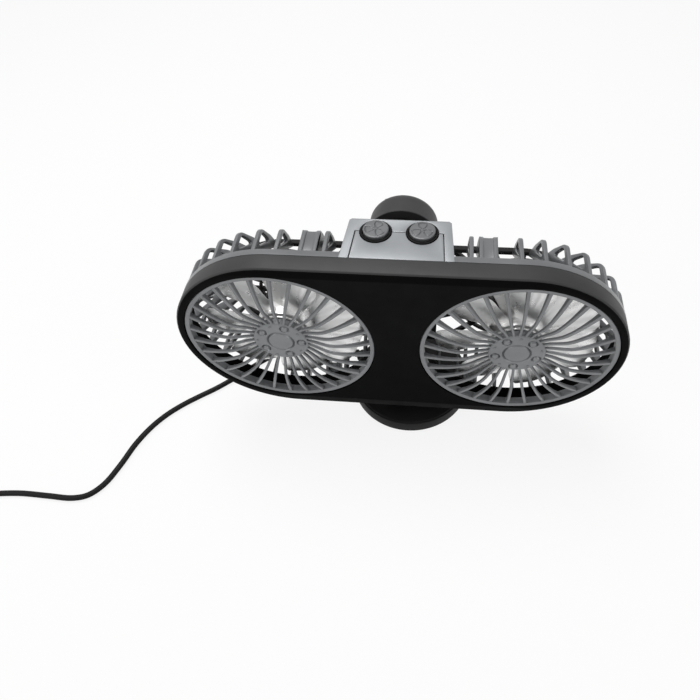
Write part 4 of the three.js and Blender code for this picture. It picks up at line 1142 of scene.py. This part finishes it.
screws("case_screw", screw(9.1), 12.8, [(-41.65, 50.9), (41.65, 50.9), (-41.65, -50.9), (41.65, -50.9)])
screws("socket_screw", screw(6.5), 42.8, [(-15.4, 24.4), (15.4, 24.4), (-15.4, 45.6), (15.4, 45.6)])


# Pieces kept from the model

for name, node in frame["nodes"].items():
    for holder in node.material_slots:
        holder.material = LOOKS[SLOT_OF[name]]


# Floor, world and lamps, in metres

FLOOR_HALF = 4
FLOOR_Z = -0.0003
FLOOR_GREY = 0.8
FLOOR_GLOW = 0.86
WORLD_LIGHT = 0.3
LAMP_AIM = Vector((0, 0, 0.08))


def seen_rays(tree):
    """1 for camera, glossy and transmission rays, 0 for those that carry light to the object."""
    path = tree.nodes.new("ShaderNodeLightPath")
    found = path.outputs["Is Camera Ray"]
    for ray in ("Is Glossy Ray", "Is Transmission Ray"):
        either = tree.nodes.new("ShaderNodeMath")
        either.operation = "MAXIMUM"
        tree.links.new(found, either.inputs[0])
        tree.links.new(path.outputs[ray], either.inputs[1])
        found = either.outputs[0]
    return found


def floor():
    mesh = bpy.data.meshes.new("floor")
    corners = [(x, y, FLOOR_Z) for x, y in box(FLOOR_HALF, FLOOR_HALF)]
    mesh.from_pydata(corners, [], [[0, 1, 2, 3]])
    material = bpy.data.materials.new("floor")
    material.use_nodes = True
    tree = material.node_tree
    tree.nodes.clear()
    out = tree.nodes.new("ShaderNodeOutputMaterial")
    diffuse = tree.nodes.new("ShaderNodeBsdfDiffuse")
    diffuse.inputs["Color"].default_value = (*grey(FLOOR_GREY), 1)
    glow = tree.nodes.new("ShaderNodeEmission")
    glow.inputs["Color"].default_value = (1, 1, 1, 1)
    share = tree.nodes.new("ShaderNodeMath")
    share.operation = "MULTIPLY"
    share.inputs[1].default_value = FLOOR_GLOW
    mix = tree.nodes.new("ShaderNodeMixShader")
    tree.links.new(seen_rays(tree), share.inputs[0])
    tree.links.new(share.outputs[0], mix.inputs["Fac"])
    tree.links.new(diffuse.outputs[0], mix.inputs[1])
    tree.links.new(glow.outputs[0], mix.inputs[2])
    tree.links.new(mix.outputs[0], out.inputs["Surface"])
    mesh.materials.append(material)
    made = bpy.data.objects.new("floor", mesh)
    bpy.context.scene.collection.objects.link(made)


def world():
    made = bpy.data.worlds.new("world")
    bpy.context.scene.world = made
    made.use_nodes = True
    tree = made.node_tree
    shade = next(n for n in tree.nodes if n.type == "BACKGROUND")
    shade.inputs["Color"].default_value = (1, 1, 1, 1)
    level = tree.nodes.new("ShaderNodeMapRange")
    level.inputs["To Min"].default_value = WORLD_LIGHT
    level.inputs["To Max"].default_value = 1.0
    tree.links.new(seen_rays(tree), level.inputs["Value"])
    tree.links.new(level.outputs["Result"], shade.inputs["Strength"])


def lamp(name, place, size, power):
    data = bpy.data.lights.new(name, "AREA")
    data.shape = "DISK"
    data.size = size
    data.energy = power
    made = bpy.data.objects.new(name, data)
    made.location = place
    made.rotation_mode = "QUATERNION"
    made.rotation_quaternion = (LAMP_AIM - Vector(place)).to_track_quat("-Z", "Y")
    bpy.context.scene.collection.objects.link(made)


floor()
world()
lamp("key", (-0.2, 0.2, 1.0), 0.6, 8.0)
lamp("left", (-0.9, -0.35, 0.55), 0.5, 2.2)
lamp("right", (0.9, -0.35, 0.55), 0.5, 2.2)
bpy.context.scene.view_settings.view_transform = "Standard"
